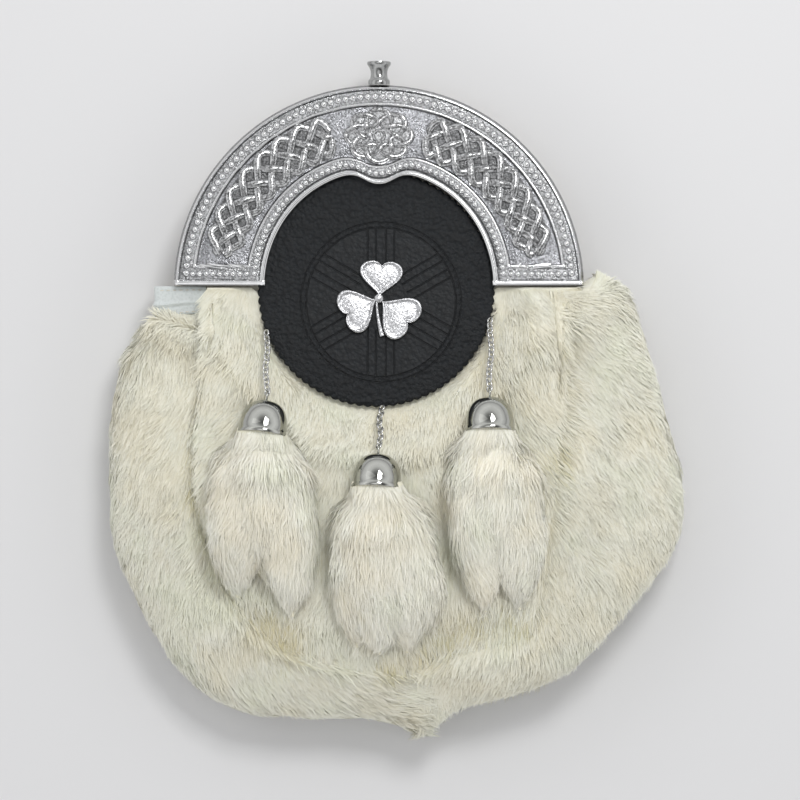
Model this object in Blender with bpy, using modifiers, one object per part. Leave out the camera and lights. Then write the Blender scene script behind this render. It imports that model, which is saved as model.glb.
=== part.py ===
# Dress sporran pouch with a white fur body, a cast arch cantle and three tassels, lying on its back.
# Lengths are in metres. +Z points up from the back panel, +Y towards the knob, +X to the wearer's left.
# While it is built, the centre of the cantle's arch is at x = 0, y = 0. The last step moves all of it so
# that the origin lies under the middle of the whole, on the surface that it rests on.

import math

import bmesh
import bpy
import numpy as np
from mathutils import Matrix, Vector
from mathutils.bvhtree import BVHTree

# Leather body
BODY_LENGTH = 0.150
BODY_HALF_WIDTH = 0.094
SHOULDER_HALF_WIDTH = 0.0795
BODY_SKEW = 0.11
WIDEST_AT = 0.45
ROUND_POWER = 2.3
STRAIGHT_SHARE = 0.32
BACK_THICKNESS = 0.003
LEATHER = 0.0018
EDGE_HEIGHT = 0.024
MOUTH_SLOPE = 0.10
BELLY_RISE = 0.009
BELLY_START = 0.028
BELLY_RUN = 0.060
ARCH_MARGIN = 0.0010
CLEARANCE = 0.0003

# Hanging strap on the back
STRAP_LENGTH = 0.110
STRAP_WIDTH = 0.024
STRAP_THICKNESS = 0.0013
STRAP_Y = 0.022

# Fur
PILE = 0.0115
FUR_REACH = 0.028
BORDER_WIDTH = 0.037
FUR_CLEARANCE = 0.0009
FUR_FLOOR_GAP = 0.0006
THIN_FUR = 0.0009
LOCK_RIPPLE = 0.0011
CENTER_LOCK_RIPPLE = 0.0007
DENT_DEPTH = 0.0042
DENT_WIDTH = 0.011
DENT_START = -0.019
DENT_START_RUN = 0.012
DENT_END = 0.062
DENT_END_RUN = 0.020
CENTER_FUR_TOP = (-0.0600, 0.0770)
CREASE_GAP = 0.0005
ROUNDEL_TUCK = 0.006
ROUNDEL_MARGIN = 0.0012
TUCK_HALF_WIDTH = 0.030
TUCK_RUN = 0.008

# Cantle
CANTLE_RADIUS = 0.0783
CANTLE_OPENING = 0.0450
CANTLE_END_Y = 0.0012
CANTLE_END_TUCK = 0.0015
LOBE_DROP = 0.0052
LOBE_ANGLE = math.radians(9)
PLATE = 0.0020
FLANGE_DEPTH = 0.0066
FLANGE_WALL = 0.0020
RIM_WIDTH = 0.0019
RIM_HEIGHT = 0.0014
OUTER_BORDER = 0.0087
INNER_BORDER = 0.0078
FILLET_WIDTH = 0.0010
FILLET_HEIGHT = 0.0010
CHANNEL_HEIGHT = 0.0004
KNOT_WIRE = 0.0021
KNOT_ENDS = (math.radians(13), math.radians(68))
KNOT_WAVES = 2.5
KNOT_STEPS = 11
CENTRE_RING_RADIUS = 0.0068
ARCH_STEPS = 22

# Knob
KNOB_HEIGHT = 0.0088
KNOB_RADIUS = 0.0046

# Roundel and badge
ROUNDEL_RADIUS = 0.0454
ROUNDEL_THICKNESS = 0.0026
ROUNDEL_X = -0.001
SCALLOPS = 86
SCALLOP_DEPTH = 0.0005
BADGE_THICKNESS = 0.0016
HEART_LENGTH = 0.0150
BADGE_Y = -0.0042

# Chains, bells and tassels
LINK_LENGTH = 0.0056
LINK_WIDTH = 0.0033
LINK_WIRE = 0.0009
LINK_BITE = 0.0002
LINK_SIDES = 10
WIRE_SIDES = 5
BELL_RADIUS = 0.0092
BELL_HEIGHT = 0.0135
BELL_WALL = 0.0009
BELL_TILT = math.radians(12)
BELL_STEPS = 12
LOOP_RADIUS = 0.0018
LOOP_SINK = 0.0002
LOOP_WIRE = 0.0008
TASSEL_CLEARANCE = 0.0009
LOCK_SIDES = 8
LOCK_RINGS = 6

# Shoulder tab
TAB_LENGTH = 0.020
TAB_WIDTH = 0.0115
TAB_DROP = 0.017
TAB_BEND = 0.0022
TAB_STANDS_OUT = 0.0033

# One row for each section of a fur border: where it lies along the body's edge, as a share of the way
# from the left shoulder to the right, its width inside that edge, its reach outside it, the height of its
# crown as a share of the pile, and how far its outer half leans towards the knob, in degrees.
BORDER_COLUMNS = ("along", "inside", "outside", "crown", "lean")
LEFT_BORDER = (
    (0.036, 0.56, 0.13, 0.55, 0),
    (0.062, 0.56, 0.42, 0.80, 0),
    (0.100, 0.52, 0.52, 0.95, 0),
    (0.156, 0.43, 0.62, 1.00, 0),
    (0.205, 0.38, 0.75, 1.00, 0),
    (0.250, 0.34, 0.80, 1.00, 0),
    (0.300, 0.25, 0.92, 0.95, 0),
    (0.344, 0.17, 1.00, 0.90, 0),
    (0.380, 0.13, 0.94, 0.85, 0),
    (0.410, 0.12, 0.77, 0.85, 0),
    (0.450, 0.15, 0.62, 0.85, 0),
    (0.475, 0.17, 0.60, 0.80, 0),
    (0.4994, 0.22, 0.76, 0.70, 0),
)
RIGHT_BORDER = (
    (0.5006, 0.24, 0.76, 0.70, 0),
    (0.520, 0.36, 0.48, 0.85, 0),
    (0.550, 0.45, 0.36, 0.95, 0),
    (0.600, 0.46, 0.34, 1.00, 0),
    (0.656, 0.76, 0.23, 1.00, 0),
    (0.688, 0.88, 0.18, 1.00, 0),
    (0.735, 0.97, 0.26, 1.00, 0),
    (0.781, 1.00, 0.49, 1.00, 0),
    (0.820, 0.98, 0.54, 1.00, 0),
    (0.875, 0.86, 0.43, 0.95, 0),
    (0.930, 0.68, 0.42, 0.85, 0),
    (0.970, 0.54, 0.45, 0.75, 10),
    (0.9975, 0.41, 0.36, 0.60, 32),
)

# The outline of a border's section, from the crease over the crown and down to the surface: distance from
# the body's edge as a share of the width inside it (negative) or of the reach outside it, and height as a
# share of the crown above the leather (top) or of the leather's height (side).
SECTION_TOP = ((-1.0, 0.22), (-0.86, 0.62), (-0.55, 0.96), (-0.12, 1.0), (0.45, 0.62), (0.84, 0.08))
SECTION_SIDE = ((1.0, 0.55), (0.86, 0.17), (0.42, 0.0))

# One row for each tassel: where its bell's rim and the top of its chain lie, how far the bell turns to
# one side in degrees, and its locks.
BELLS = {
    "left": {"rim": (-0.0440, -0.0560), "chain_x": -0.0430, "turn": -7.0},
    "middle": {"rim": (-0.0008, -0.0762), "chain_x": 0.0012, "turn": -3.0},
    "right": {"rim": (0.0420, -0.0548), "chain_x": 0.0425, "turn": 0.0},
}

# One row for each lock of a tassel: where it leaves the bell, its widest place and its tip, sideways from
# the rim's middle, then its length, its half width and its thickness.
TASSEL_LENGTH = 0.070
TASSEL_HALF_WIDTH = 0.0135
TASSEL_THICKNESS = 0.0095
LOCK_COLUMNS = ("root", "middle", "tip", "length", "width", "thickness")
LOCKS = {
    "left": (
        (-0.30, -0.70, -0.72, 0.88, 0.95, 1.00),
        (0.25, 0.80, 0.85, 0.98, 1.00, 0.95),
        (0.00, 0.00, 0.15, 0.80, 0.95, 1.12),
    ),
    "middle": (
        (-0.30, -0.55, -0.55, 0.86, 0.90, 0.90),
        (0.20, 0.85, 0.85, 0.89, 1.10, 1.00),
        (0.35, 1.25, 1.60, 0.76, 0.75, 0.85),
        (0.00, 0.00, 0.10, 0.90, 1.15, 1.10),
    ),
    "right": (
        (-0.25, -0.48, -0.10, 0.97, 0.92, 1.00),
        (0.25, 0.75, 0.85, 0.96, 0.95, 0.95),
        (0.00, 0.15, 0.40, 0.80, 0.95, 1.10),
    ),
}

# One row for each heart of the badge: where its tip lies beside the stem's top, where it points, in
# degrees, and its size.
HEART_COLUMNS = ("x", "y", "points", "size")
HEARTS = (
    (0.0003, 0.0008, 86, 1.00),
    (-0.0006, 0.0002, 207, 1.06),
    (0.0008, -0.0004, -40, 1.10),
)

# Turned profiles, from the top down: radius as a share of the greatest, height as a share of the whole.
KNOB_PROFILE = ((0.55, 0.94), (0.86, 1.0), (1.0, 0.98), (1.0, 0.88), (0.62, 0.68), (0.60, 0.40), (0.84, 0.16), (0.84, 0.0))
BELL_PROFILE = ((0.0, 1.0), (0.30, 0.97), (0.66, 0.80), (0.92, 0.46), (0.98, 0.16), (1.04, 0.12), (1.04, 0.0))

COLOURS = {
    "leather_white": ((0.62, 0.66, 0.66), 0.55, 0.0),
    "leather_black": ((0.018, 0.020, 0.023), 0.42, 0.0),
    "leather_cream": ((0.66, 0.62, 0.52), 0.60, 0.0),
    "fur": ((0.76, 0.73, 0.62), 0.85, 0.0),
    "chrome": ((0.78, 0.79, 0.80), 0.18, 1.0),
    "badge_metal": ((0.82, 0.83, 0.84), 0.30, 1.0),
}


def smooth_step(value):
    value = min(1.0, max(0.0, value))
    return value * value * (3 - 2 * value)


def smooth_row(rows, along, column):
    """The named column's value at a place along the edge, on a smooth curve through the rows."""
    place_column = BORDER_COLUMNS.index("along")
    value_column = BORDER_COLUMNS.index(column)
    places = [row[place_column] for row in rows]
    values = [row[value_column] for row in rows]
    i = int(np.clip(np.searchsorted(places, along) - 1, 0, len(rows) - 2))
    share = min(1.0, max(0.0, (along - places[i]) / (places[i + 1] - places[i])))
    before = values[max(i - 1, 0)]
    after = values[min(i + 2, len(values) - 1)]
    slope_in = (values[i + 1] - before) / 2
    slope_out = (after - values[i]) / 2
    cubic = 2 * (values[i] - values[i + 1]) + slope_in + slope_out
    square = 3 * (values[i + 1] - values[i]) - 2 * slope_in - slope_out
    return ((cubic * share + square) * share + slope_in) * share + values[i]


def edge_point(along):
    """A point of the leather body's edge, from the left shoulder (0) round the bottom to the right (1)."""
    side = -1 if along < 0.5 else 1
    share = 1 - abs(2 * along - 1)
    if share < STRAIGHT_SHARE:
        down = share / STRAIGHT_SHARE * WIDEST_AT
        width = BODY_HALF_WIDTH - (BODY_HALF_WIDTH - SHOULDER_HALF_WIDTH) * (1 - down / WIDEST_AT) ** 2
    else:
        turn = (share - STRAIGHT_SHARE) / (1 - STRAIGHT_SHARE) * math.pi / 2
        width = BODY_HALF_WIDTH * max(math.cos(turn), 0.0) ** (2 / ROUND_POWER)
        down = WIDEST_AT + (1 - WIDEST_AT) * math.sin(turn) ** (2 / ROUND_POWER)
    return Vector((side * width + BODY_SKEW * down * BODY_LENGTH, -down * BODY_LENGTH))


def edge_normal(along):
    """The outward direction of the edge, level with the surface."""
    step = 0.004
    ahead = edge_point(min(1.0, along + step))
    behind = edge_point(max(0.0, along - step))
    tangent = (ahead - behind).normalized()
    return Vector((tangent.y, -tangent.x))


def mouth_plane(y):
    """Height of the plane that the front leather's top follows behind the cantle."""
    return EDGE_HEIGHT - MOUTH_SLOPE * y


def front_top(x, y):
    """Height of the front leather's outer face."""
    if y >= 0:
        return mouth_plane(y)
    down = min(1.0, -y / BODY_LENGTH)
    middle = BODY_SKEW * -y
    across = (x - middle) / BODY_HALF_WIDTH
    along = max(0.0, down - WIDEST_AT) / (1 - WIDEST_AT)
    from_middle = min(1.0, math.hypot(across, along))
    swell = 1 - from_middle**3
    return EDGE_HEIGHT + BELLY_RISE * swell * smooth_step((-y - BELLY_START) / BELLY_RUN)


def new_material(name):
    colour, roughness, metallic = COLOURS[name]
    material = bpy.data.materials.new(name)
    material.use_nodes = True
    shader = material.node_tree.nodes["Principled BSDF"]
    shader.inputs["Base Color"].default_value = (*colour, 1)
    shader.inputs["Roughness"].default_value = roughness
    shader.inputs["Metallic"].default_value = metallic
    return material


def add_node(name, mesh, material_name, smooth=True):
    """Puts the mesh in the scene as one named piece with a material of its own."""
    thing = bpy.data.objects.new(name, mesh)
    parts.objects.link(thing)
    mesh.materials.clear()
    mesh.materials.append(new_material(material_name))
    if smooth:
        mesh.shade_smooth()
        mesh.set_sharp_from_angle(angle=math.radians(38))
    return thing


def loft(name, rings, round_trip=False):
    """A closed body through rings of as many points each. Its ends are capped, or joined by round_trip."""
    count = len(rings[0])
    points = [point for ring in rings for point in ring]
    faces = []
    last = len(rings) if round_trip else len(rings) - 1
    for i in range(last):
        start = i * count
        nearby = (i + 1) % len(rings) * count
        for j in range(count):
            k = (j + 1) % count
            faces.append((start + j, start + k, nearby + k, nearby + j))
    if not round_trip:
        faces.append(tuple(range(count - 1, -1, -1)))
        faces.append(tuple(range((len(rings) - 1) * count, len(rings) * count)))
    mesh = bpy.data.meshes.new(name)
    mesh.from_pydata([tuple(point) for point in points], [], faces)
    body = bmesh.new()
    body.from_mesh(mesh)
    bmesh.ops.triangulate(body, faces=body.faces, quad_method="SHORT_EDGE")
    bmesh.ops.recalc_face_normals(body, faces=body.faces)
    body.to_mesh(mesh)
    body.free()
    return mesh


def flat_outline(name, outline, thickness):
    """A plate with this outline, from z = 0 up, as a 2D curve with an extrusion made a mesh."""
    curve = bpy.data.curves.new(name, "CURVE")
    curve.dimensions = "2D"
    curve.fill_mode = "BOTH"
    curve.extrude = thickness / 2
    spline = curve.splines.new("POLY")
    spline.points.add(len(outline) - 1)
    for place, (x, y) in zip(spline.points, outline):
        place.co = (x, y, 0, 1)
    spline.use_cyclic_u = True
    mesh = mesh_of_curve(name, curve)
    mesh.transform(Matrix.Translation((0, 0, thickness / 2)))
    return mesh


def mesh_of_curve(name, curve):
    """The curve's evaluated shape as a welded mesh. The curve itself goes."""
    guide = bpy.data.objects.new(name + "_curve", curve)
    bpy.context.scene.collection.objects.link(guide)
    bpy.context.view_layer.update()
    graph = bpy.context.evaluated_depsgraph_get()
    mesh = bpy.data.meshes.new_from_object(guide.evaluated_get(graph))
    mesh.name = name
    body = bmesh.new()
    body.from_mesh(mesh)
    bmesh.ops.remove_doubles(body, verts=body.verts, dist=1e-6)
    bmesh.ops.recalc_face_normals(body, faces=body.faces)
    body.to_mesh(mesh)
    body.free()
    bpy.data.objects.remove(guide)
    bpy.data.curves.remove(curve)
    return mesh


def turned(name, profile, radius, height, steps):
    """A body turned about Z from a profile of radius and height shares, listed from the top down."""
    mesh = bpy.data.meshes.new(name)
    points = [(r * radius, 0, z * height) for r, z in profile]
    mesh.from_pydata(points, [(i, i + 1) for i in range(len(points) - 1)], [])
    thing = bpy.data.objects.new(name, mesh)
    parts.objects.link(thing)
    screw = thing.modifiers.new("turn", "SCREW")
    screw.steps = steps
    screw.render_steps = steps
    screw.use_merge_vertices = True
    screw.merge_threshold = 0.00001
    return applied(thing)


def applied(thing):
    """The object's evaluated mesh, without its modifiers. The object itself goes."""
    bpy.context.view_layer.update()
    graph = bpy.context.evaluated_depsgraph_get()
    mesh = bpy.data.meshes.new_from_object(thing.evaluated_get(graph))
    mesh.name = thing.name
    bpy.data.objects.remove(thing)
    return mesh


def united(name, meshes):
    """One mesh from several that overlap, joined by Boolean unions."""
    main = bpy.data.objects.new(name + "_main", meshes[0])
    parts.objects.link(main)
    helpers = []
    for number, mesh in enumerate(meshes[1:]):
        helper = bpy.data.objects.new(f"{name}_add{number}", mesh)
        cutters.objects.link(helper)
        helper.hide_render = True
        helper.display_type = "WIRE"
        union = main.modifiers.new("join", "BOOLEAN")
        union.operation = "UNION"
        union.solver = "EXACT"
        union.object = helper
        helpers.append(helper)
    joined = applied(main)
    for helper in helpers:
        bpy.data.objects.remove(helper)
    joined.name = name
    return joined


def make_back_panel():
    """Flat leather back with a shallow seat pressed into it for the hanging strap."""
    outline = [edge_point(i / 40) for i in range(41)]
    arch = CANTLE_RADIUS - FLANGE_WALL - ARCH_MARGIN
    top = [(arch * math.cos(math.radians(a)), arch * math.sin(math.radians(a))) for a in range(3, 178, 9)]
    mesh = flat_outline("back_panel", [tuple(point) for point in outline] + top, BACK_THICKNESS)
    panel = add_node("back_panel", mesh, "leather_cream")
    bpy.ops.mesh.primitive_cube_add(size=1)
    seat = bpy.context.object
    seat.name = "strap_seat"
    seat.data.transform(Matrix.Diagonal((
        STRAP_LENGTH + 2 * CLEARANCE,
        STRAP_WIDTH + 2 * CLEARANCE,
        2 * (STRAP_THICKNESS + CLEARANCE),
        1,
    )))
    seat.location = (0, STRAP_Y, 0)
    for collection in list(seat.users_collection):
        collection.objects.unlink(seat)
    cutters.objects.link(seat)
    seat.hide_render = True
    seat.display_type = "WIRE"
    cut = panel.modifiers.new("seat", "BOOLEAN")
    cut.object = seat
    cut.solver = "EXACT"


def make_hanging_strap():
    """The plain strap that a belt or a chain's clips hold, flat in its seat in the back."""
    bpy.ops.mesh.primitive_cube_add(size=1)
    strap = bpy.context.object
    strap.data.transform(Matrix.Diagonal((STRAP_LENGTH, STRAP_WIDTH, STRAP_THICKNESS, 1)))
    strap.data.transform(Matrix.Translation((0, STRAP_Y, STRAP_THICKNESS / 2)))
    mesh = strap.data
    bpy.data.objects.remove(strap)
    add_node("hanging_strap", mesh, "leather_cream", smooth=False)


def make_gusset():
    """Upright leather wall round the sides and bottom, open along the cantle."""
    low = BACK_THICKNESS + CLEARANCE
    high = EDGE_HEIGHT - LEATHER - CLEARANCE - 0.0002
    sections = 36
    rings = []
    for i in range(sections + 1):
        along = i / sections
        place = edge_point(along)
        outward = edge_normal(along)
        ring = []
        for inset, height in ((0.0004, low), (0.0004, high), (0.0004 + LEATHER, high), (0.0004 + LEATHER, low)):
            spot = place - outward * inset
            ring.append((spot.x, spot.y, height))
        rings.append(ring)
    add_node("gusset", loft("gusset", rings), "leather_cream")


def make_front_panel():
    """Domed front leather, arched behind the cantle, as a shell with its outer face on front_top."""
    arch = CANTLE_RADIUS - FLANGE_WALL - ARCH_MARGIN
    rim = [edge_point(i / 30) for i in range(31)]
    rim += [Vector((arch * math.cos(math.radians(a)), arch * math.sin(math.radians(a)) + 0.0004)) for a in range(0, 181, 12)]
    middle = Vector((0.006, -0.052))
    shares = (0.30, 0.58, 0.82, 1.0)
    points = [(middle.x, middle.y, front_top(middle.x, middle.y))]
    for share in shares:
        for place in rim:
            spot = middle + (place - middle) * share
            points.append((spot.x, spot.y, front_top(spot.x, spot.y)))
    count = len(rim)
    faces = [(0, 1 + j, 1 + (j + 1) % count) for j in range(count)]
    for ring in range(len(shares) - 1):
        start = 1 + ring * count
        for j in range(count):
            k = (j + 1) % count
            faces.append((start + j, start + count + j, start + count + k, start + k))
    mesh = bpy.data.meshes.new("front_panel")
    mesh.from_pydata(points, [], faces)
    panel = bpy.data.objects.new("front_panel", mesh)
    parts.objects.link(panel)
    shell = panel.modifiers.new("leather", "SOLIDIFY")
    shell.thickness = LEATHER
    shell.offset = -1
    solid = applied(panel)
    add_node("front_panel", solid, "leather_cream")


def ridges(along, across, amount):
    """Overlapping lock ridges: a slanted wave that rises slowly and falls fast."""
    phase = along + 0.33 * across + 0.21 * math.sin(2.7 * along + 1.3 * across)
    saw = phase - math.floor(phase)
    return amount * (math.sin(math.pi * saw**0.6) - 0.5)


def border_ring(rows, along, panel_height):
    """One closed section of a fur border, wrapped over the body's edge."""
    inside = smooth_row(rows, along, "inside") * BORDER_WIDTH
    outside = smooth_row(rows, along, "outside") * FUR_REACH
    crown = smooth_row(rows, along, "crown") * PILE
    lean = math.radians(smooth_row(rows, along, "lean"))
    place = edge_point(along)
    normal = edge_normal(along)
    outer = Matrix.Rotation(lean, 2) @ normal
    inner = Matrix.Rotation(-0.88 * lean, 2) @ normal
    edge = EDGE_HEIGHT + FUR_CLEARANCE

    def spot(distance, height):
        way = outer if distance > 0 else inner
        reach = outside if distance > 0 else inside
        flat = place + way * distance * reach
        return Vector((flat.x, flat.y, height))

    def leather(distance):
        flat = place + inner * distance * inside
        return panel_height(flat.x, flat.y) + FUR_CLEARANCE

    ring = []
    for number, (distance, height) in enumerate(SECTION_TOP):
        base = leather(distance) if distance < 0 else edge
        ripple = ridges(along * 62, number * 0.9, LOCK_RIPPLE) if 0 < number else 0
        ring.append(spot(distance, base + height * crown + ripple))
    for number, (distance, height) in enumerate(SECTION_SIDE):
        ripple = ridges(along * 62, 6 + number * 0.9, LOCK_RIPPLE / max(outside, 0.004)) if number < 2 else 0
        ring.append(spot(distance * (1 + ripple), max(FUR_FLOOR_GAP, edge * height)))
    wall = FUR_CLEARANCE / outside
    ring.append(spot(wall, FUR_FLOOR_GAP))
    ring.append(spot(wall, edge))
    for distance in (-0.4, -0.75, -0.99):
        ring.append(spot(distance, leather(distance)))
    return ring


def make_border(name, rows, sections, panel_height):
    first, last = rows[0][0], rows[-1][0]
    rings = [border_ring(rows, first + (last - first) * i / sections, panel_height) for i in range(sections + 1)]
    add_node(name, loft(name, rings), "fur")


def crease_point(along, gap):
    """A point on the fold between the middle fur and a border, moved inwards by the gap."""
    rows = LEFT_BORDER if along < 0.5 else RIGHT_BORDER
    inside = smooth_row(rows, along, "inside") * BORDER_WIDTH + gap
    lean = math.radians(smooth_row(rows, along, "lean"))
    inner = Matrix.Rotation(-0.88 * lean, 2) @ edge_normal(along)
    return edge_point(along) - inner * inside


def dent(x, y):
    """How far a tassel presses the middle fur down."""
    depth = 0.0
    for bell in BELLS.values():
        rim_x, rim_y = bell["rim"]
        started = smooth_step((rim_y - DENT_START - y) / DENT_START_RUN)
        down = started * smooth_step((y - rim_y + DENT_END) / DENT_END_RUN)
        depth += DENT_DEPTH * down * math.exp(-(((x - rim_x) / DENT_WIDTH) ** 2))
    return depth


def roundel_plane(y):
    """Height of the roundel's underside."""
    return mouth_plane(y) + CLEARANCE


def roundel_crossing(low, high):
    """How far along the line from low to high, as a share, it passes under the roundel's edge."""
    centre = Vector((ROUNDEL_X, 0.0))
    run = high - low
    start = low - centre
    radius = ROUNDEL_RADIUS + 0.0008
    half = start.dot(run)
    inside = half**2 - run.length_squared * (start.length_squared - radius**2)
    if inside <= 0:
        return 0.93
    return min(0.93, max(0.60, (-half - math.sqrt(inside)) / run.length_squared))


def fur_top_y(x):
    """Upper end of the middle fur: at the cantle, round the roundel's sides and a little under its foot."""
    beside = abs(x - ROUNDEL_X)
    tuck = ROUNDEL_RADIUS - ROUNDEL_TUCK
    clear = ROUNDEL_RADIUS + ROUNDEL_MARGIN
    radius = tuck + (clear - tuck) * smooth_step((beside - TUCK_HALF_WIDTH) / TUCK_RUN)
    return -math.sqrt(radius**2 - beside**2) if beside < radius else 0.0004


def make_fur_center(panel_height):
    """The middle fur: a padded slab on the front leather, pressed thin below the roundel."""
    first = LEFT_BORDER[0][0] - 0.004
    last = RIGHT_BORDER[-1][0]
    sections = 25
    shares = (0.0, 0.05, 0.15, 0.31, 0.50, 0.68, 0.86, 1.0)
    rings = []
    for i in range(sections + 1):
        share = i / sections
        low = crease_point(first + (last - first) * share, CREASE_GAP)
        high_x = CENTER_FUR_TOP[0] + (CENTER_FUR_TOP[1] - CENTER_FUR_TOP[0]) * share
        high = Vector((high_x, fur_top_y(high_x)))
        covered = roundel_crossing(low, high)
        steps = [step * covered for step in shares] + [(1 + covered) / 2, 1.0]
        top = []
        bottom = []
        for j, step in enumerate(steps):
            spot = low.lerp(high, step)
            base = panel_height(spot.x, spot.y) + FUR_CLEARANCE
            rise = 0.20 + 0.80 * smooth_step(step / 0.16)
            near_mouth = 0.45 + 0.55 * smooth_step(-spot.y / 0.026)
            height = PILE * rise * near_mouth - dent(spot.x, spot.y)
            height += ridges(share * 24, j * 1.7, CENTER_LOCK_RIPPLE) if 0 < j else 0
            off = math.hypot(spot.x - ROUNDEL_X, spot.y) - ROUNDEL_RADIUS - 0.0008
            cover = roundel_plane(spot.y) - 0.0005 + max(0.0, off) * 0.65
            height = max(THIN_FUR, min(base + height, cover) - base)
            top.append((spot.x, spot.y, base + height))
            bottom.append((spot.x, spot.y, base))
        rings.append(top + bottom[::-1])
    add_node("fur_center", loft("fur_center", rings), "fur")


def opening_radius(angle):
    """Inner edge of the cantle, with its lobe at the top."""
    from_top = angle - math.pi / 2
    lobe = LOBE_DROP * math.exp(-((from_top / LOBE_ANGLE) ** 2))
    return CANTLE_OPENING - lobe - CANTLE_END_TUCK * math.cos(angle) ** 4


def cantle_profile(inner):
    """The band's section: radius and height above the back of its plate, over the top, then underneath."""
    outer = CANTLE_RADIUS
    field = PLATE
    rim = field + RIM_HEIGHT
    channel = field + CHANNEL_HEIGHT
    fillet = field + FILLET_HEIGHT
    slant = 0.0004
    return (
        (outer, rim - slant),
        (outer - slant, rim),
        (outer - RIM_WIDTH, rim),
        (outer - RIM_WIDTH - slant, channel),
        (outer - OUTER_BORDER + FILLET_WIDTH + 2 * slant, channel),
        (outer - OUTER_BORDER + FILLET_WIDTH + slant, fillet),
        (outer - OUTER_BORDER + slant, fillet),
        (outer - OUTER_BORDER, field),
        (inner + INNER_BORDER, field),
        (inner + INNER_BORDER - slant, fillet),
        (inner + INNER_BORDER - slant - FILLET_WIDTH, fillet),
        (inner + INNER_BORDER - 2 * slant - FILLET_WIDTH, channel),
        (inner + RIM_WIDTH + slant, channel),
        (inner + RIM_WIDTH, rim),
        (inner, rim - slant),
        (inner, 0),
        (outer - FLANGE_WALL, 0),
        (outer - FLANGE_WALL, -FLANGE_DEPTH),
        (outer, -FLANGE_DEPTH),
    )


def cantle_height(y):
    """Height of the back of the cantle's plate."""
    return roundel_plane(y) + ROUNDEL_THICKNESS + CLEARANCE


def end_ring(side, y, raised):
    """A straight section across the band near its end. Its rim is raised all the way across."""
    ring = []
    for radius, height in cantle_profile(opening_radius(0)):
        if raised and height >= PLATE:
            height = PLATE + RIM_HEIGHT
        x = side * math.sqrt(radius**2 - y**2)
        ring.append((x, y, cantle_height(y) + height))
    return ring


def knot_strands():
    """The raised interlace of the two side panels: two crossing waves in each, thick as a round wire."""
    strands = []
    middle = (CANTLE_RADIUS - OUTER_BORDER + CANTLE_OPENING + INNER_BORDER) / 2
    swing = (CANTLE_RADIUS - OUTER_BORDER - CANTLE_OPENING - INNER_BORDER) / 2 - 0.8 * KNOT_WIRE
    for side in (-1, 1):
        for phase in (0, math.pi):
            curve = bpy.data.curves.new("strand", "CURVE")
            curve.dimensions = "3D"
            curve.bevel_depth = KNOT_WIRE / 2
            curve.bevel_resolution = 0
            curve.use_fill_caps = True
            spline = curve.splines.new("POLY")
            spline.points.add(KNOT_STEPS)
            for i, place in enumerate(spline.points):
                share = i / KNOT_STEPS
                angle = KNOT_ENDS[0] + (KNOT_ENDS[1] - KNOT_ENDS[0]) * share
                wave = math.sin(2 * math.pi * KNOT_WAVES * share + phase + 0.35)
                radius = middle + swing * wave * (0.45 + 0.55 * math.sin(math.pi * share) ** 0.5)
                x = side * radius * math.cos(angle)
                y = radius * math.sin(angle)
                over = 0.0002 * math.cos(2 * math.pi * KNOT_WAVES * share + phase)
                place.co = (x, y, cantle_height(y) + PLATE + over + 0.0001, 1)
            strands.append(mesh_of_curve("strand", curve))
    return strands


def centre_knot():
    """The raised ring in the middle of the cantle's top."""
    bpy.ops.mesh.primitive_torus_add(
        major_segments=20, minor_segments=6, major_radius=CENTRE_RING_RADIUS, minor_radius=KNOT_WIRE / 2
    )
    ring = bpy.context.object
    mesh = ring.data
    y = (CANTLE_RADIUS - OUTER_BORDER + CANTLE_OPENING - LOBE_DROP + INNER_BORDER) / 2
    mesh.transform(Matrix.Rotation(-math.atan(MOUTH_SLOPE), 4, "X"))
    mesh.transform(Matrix.Translation((0, y, cantle_height(y) + PLATE + 0.0001)))
    bpy.data.objects.remove(ring)
    return mesh


def make_cantle():
    """Cast arch with a deep outer flange, raised rims and fillets, and raised interlace."""
    rings = []
    rings.append(end_ring(1, CANTLE_END_Y, True))
    rings.append(end_ring(1, CANTLE_END_Y + RIM_WIDTH, True))
    rings.append(end_ring(1, CANTLE_END_Y + RIM_WIDTH + 0.0005, False))
    for i in range(1, ARCH_STEPS):
        angle = math.pi * i / ARCH_STEPS
        ring = []
        for radius, height in cantle_profile(opening_radius(angle)):
            y = radius * math.sin(angle)
            ring.append((radius * math.cos(angle), y, cantle_height(y) + height))
        rings.append(ring)
    rings.append(end_ring(-1, CANTLE_END_Y + RIM_WIDTH + 0.0005, False))
    rings.append(end_ring(-1, CANTLE_END_Y + RIM_WIDTH, True))
    rings.append(end_ring(-1, CANTLE_END_Y, True))
    band = loft("cantle", rings)
    add_node("cantle", united("cantle", [band, *knot_strands(), centre_knot()]), "chrome")


def make_knob():
    """Turned knob standing on the top of the cantle's flange."""
    mesh = turned("knob", KNOB_PROFILE, KNOB_RADIUS, KNOB_HEIGHT, 16)
    body = bmesh.new()
    body.from_mesh(mesh)
    open_edges = [edge for edge in body.edges if edge.is_boundary]
    bmesh.ops.edgeloop_fill(body, edges=open_edges)
    bmesh.ops.recalc_face_normals(body, faces=body.faces)
    body.to_mesh(mesh)
    body.free()
    mesh.transform(Matrix.Rotation(-math.pi / 2, 4, "X"))
    y = CANTLE_RADIUS + CLEARANCE
    mesh.transform(Matrix.Translation((0, y, cantle_height(y) - FLANGE_DEPTH / 2 + KNOB_RADIUS * 0.42)))
    add_node("finial", mesh, "chrome")


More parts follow.
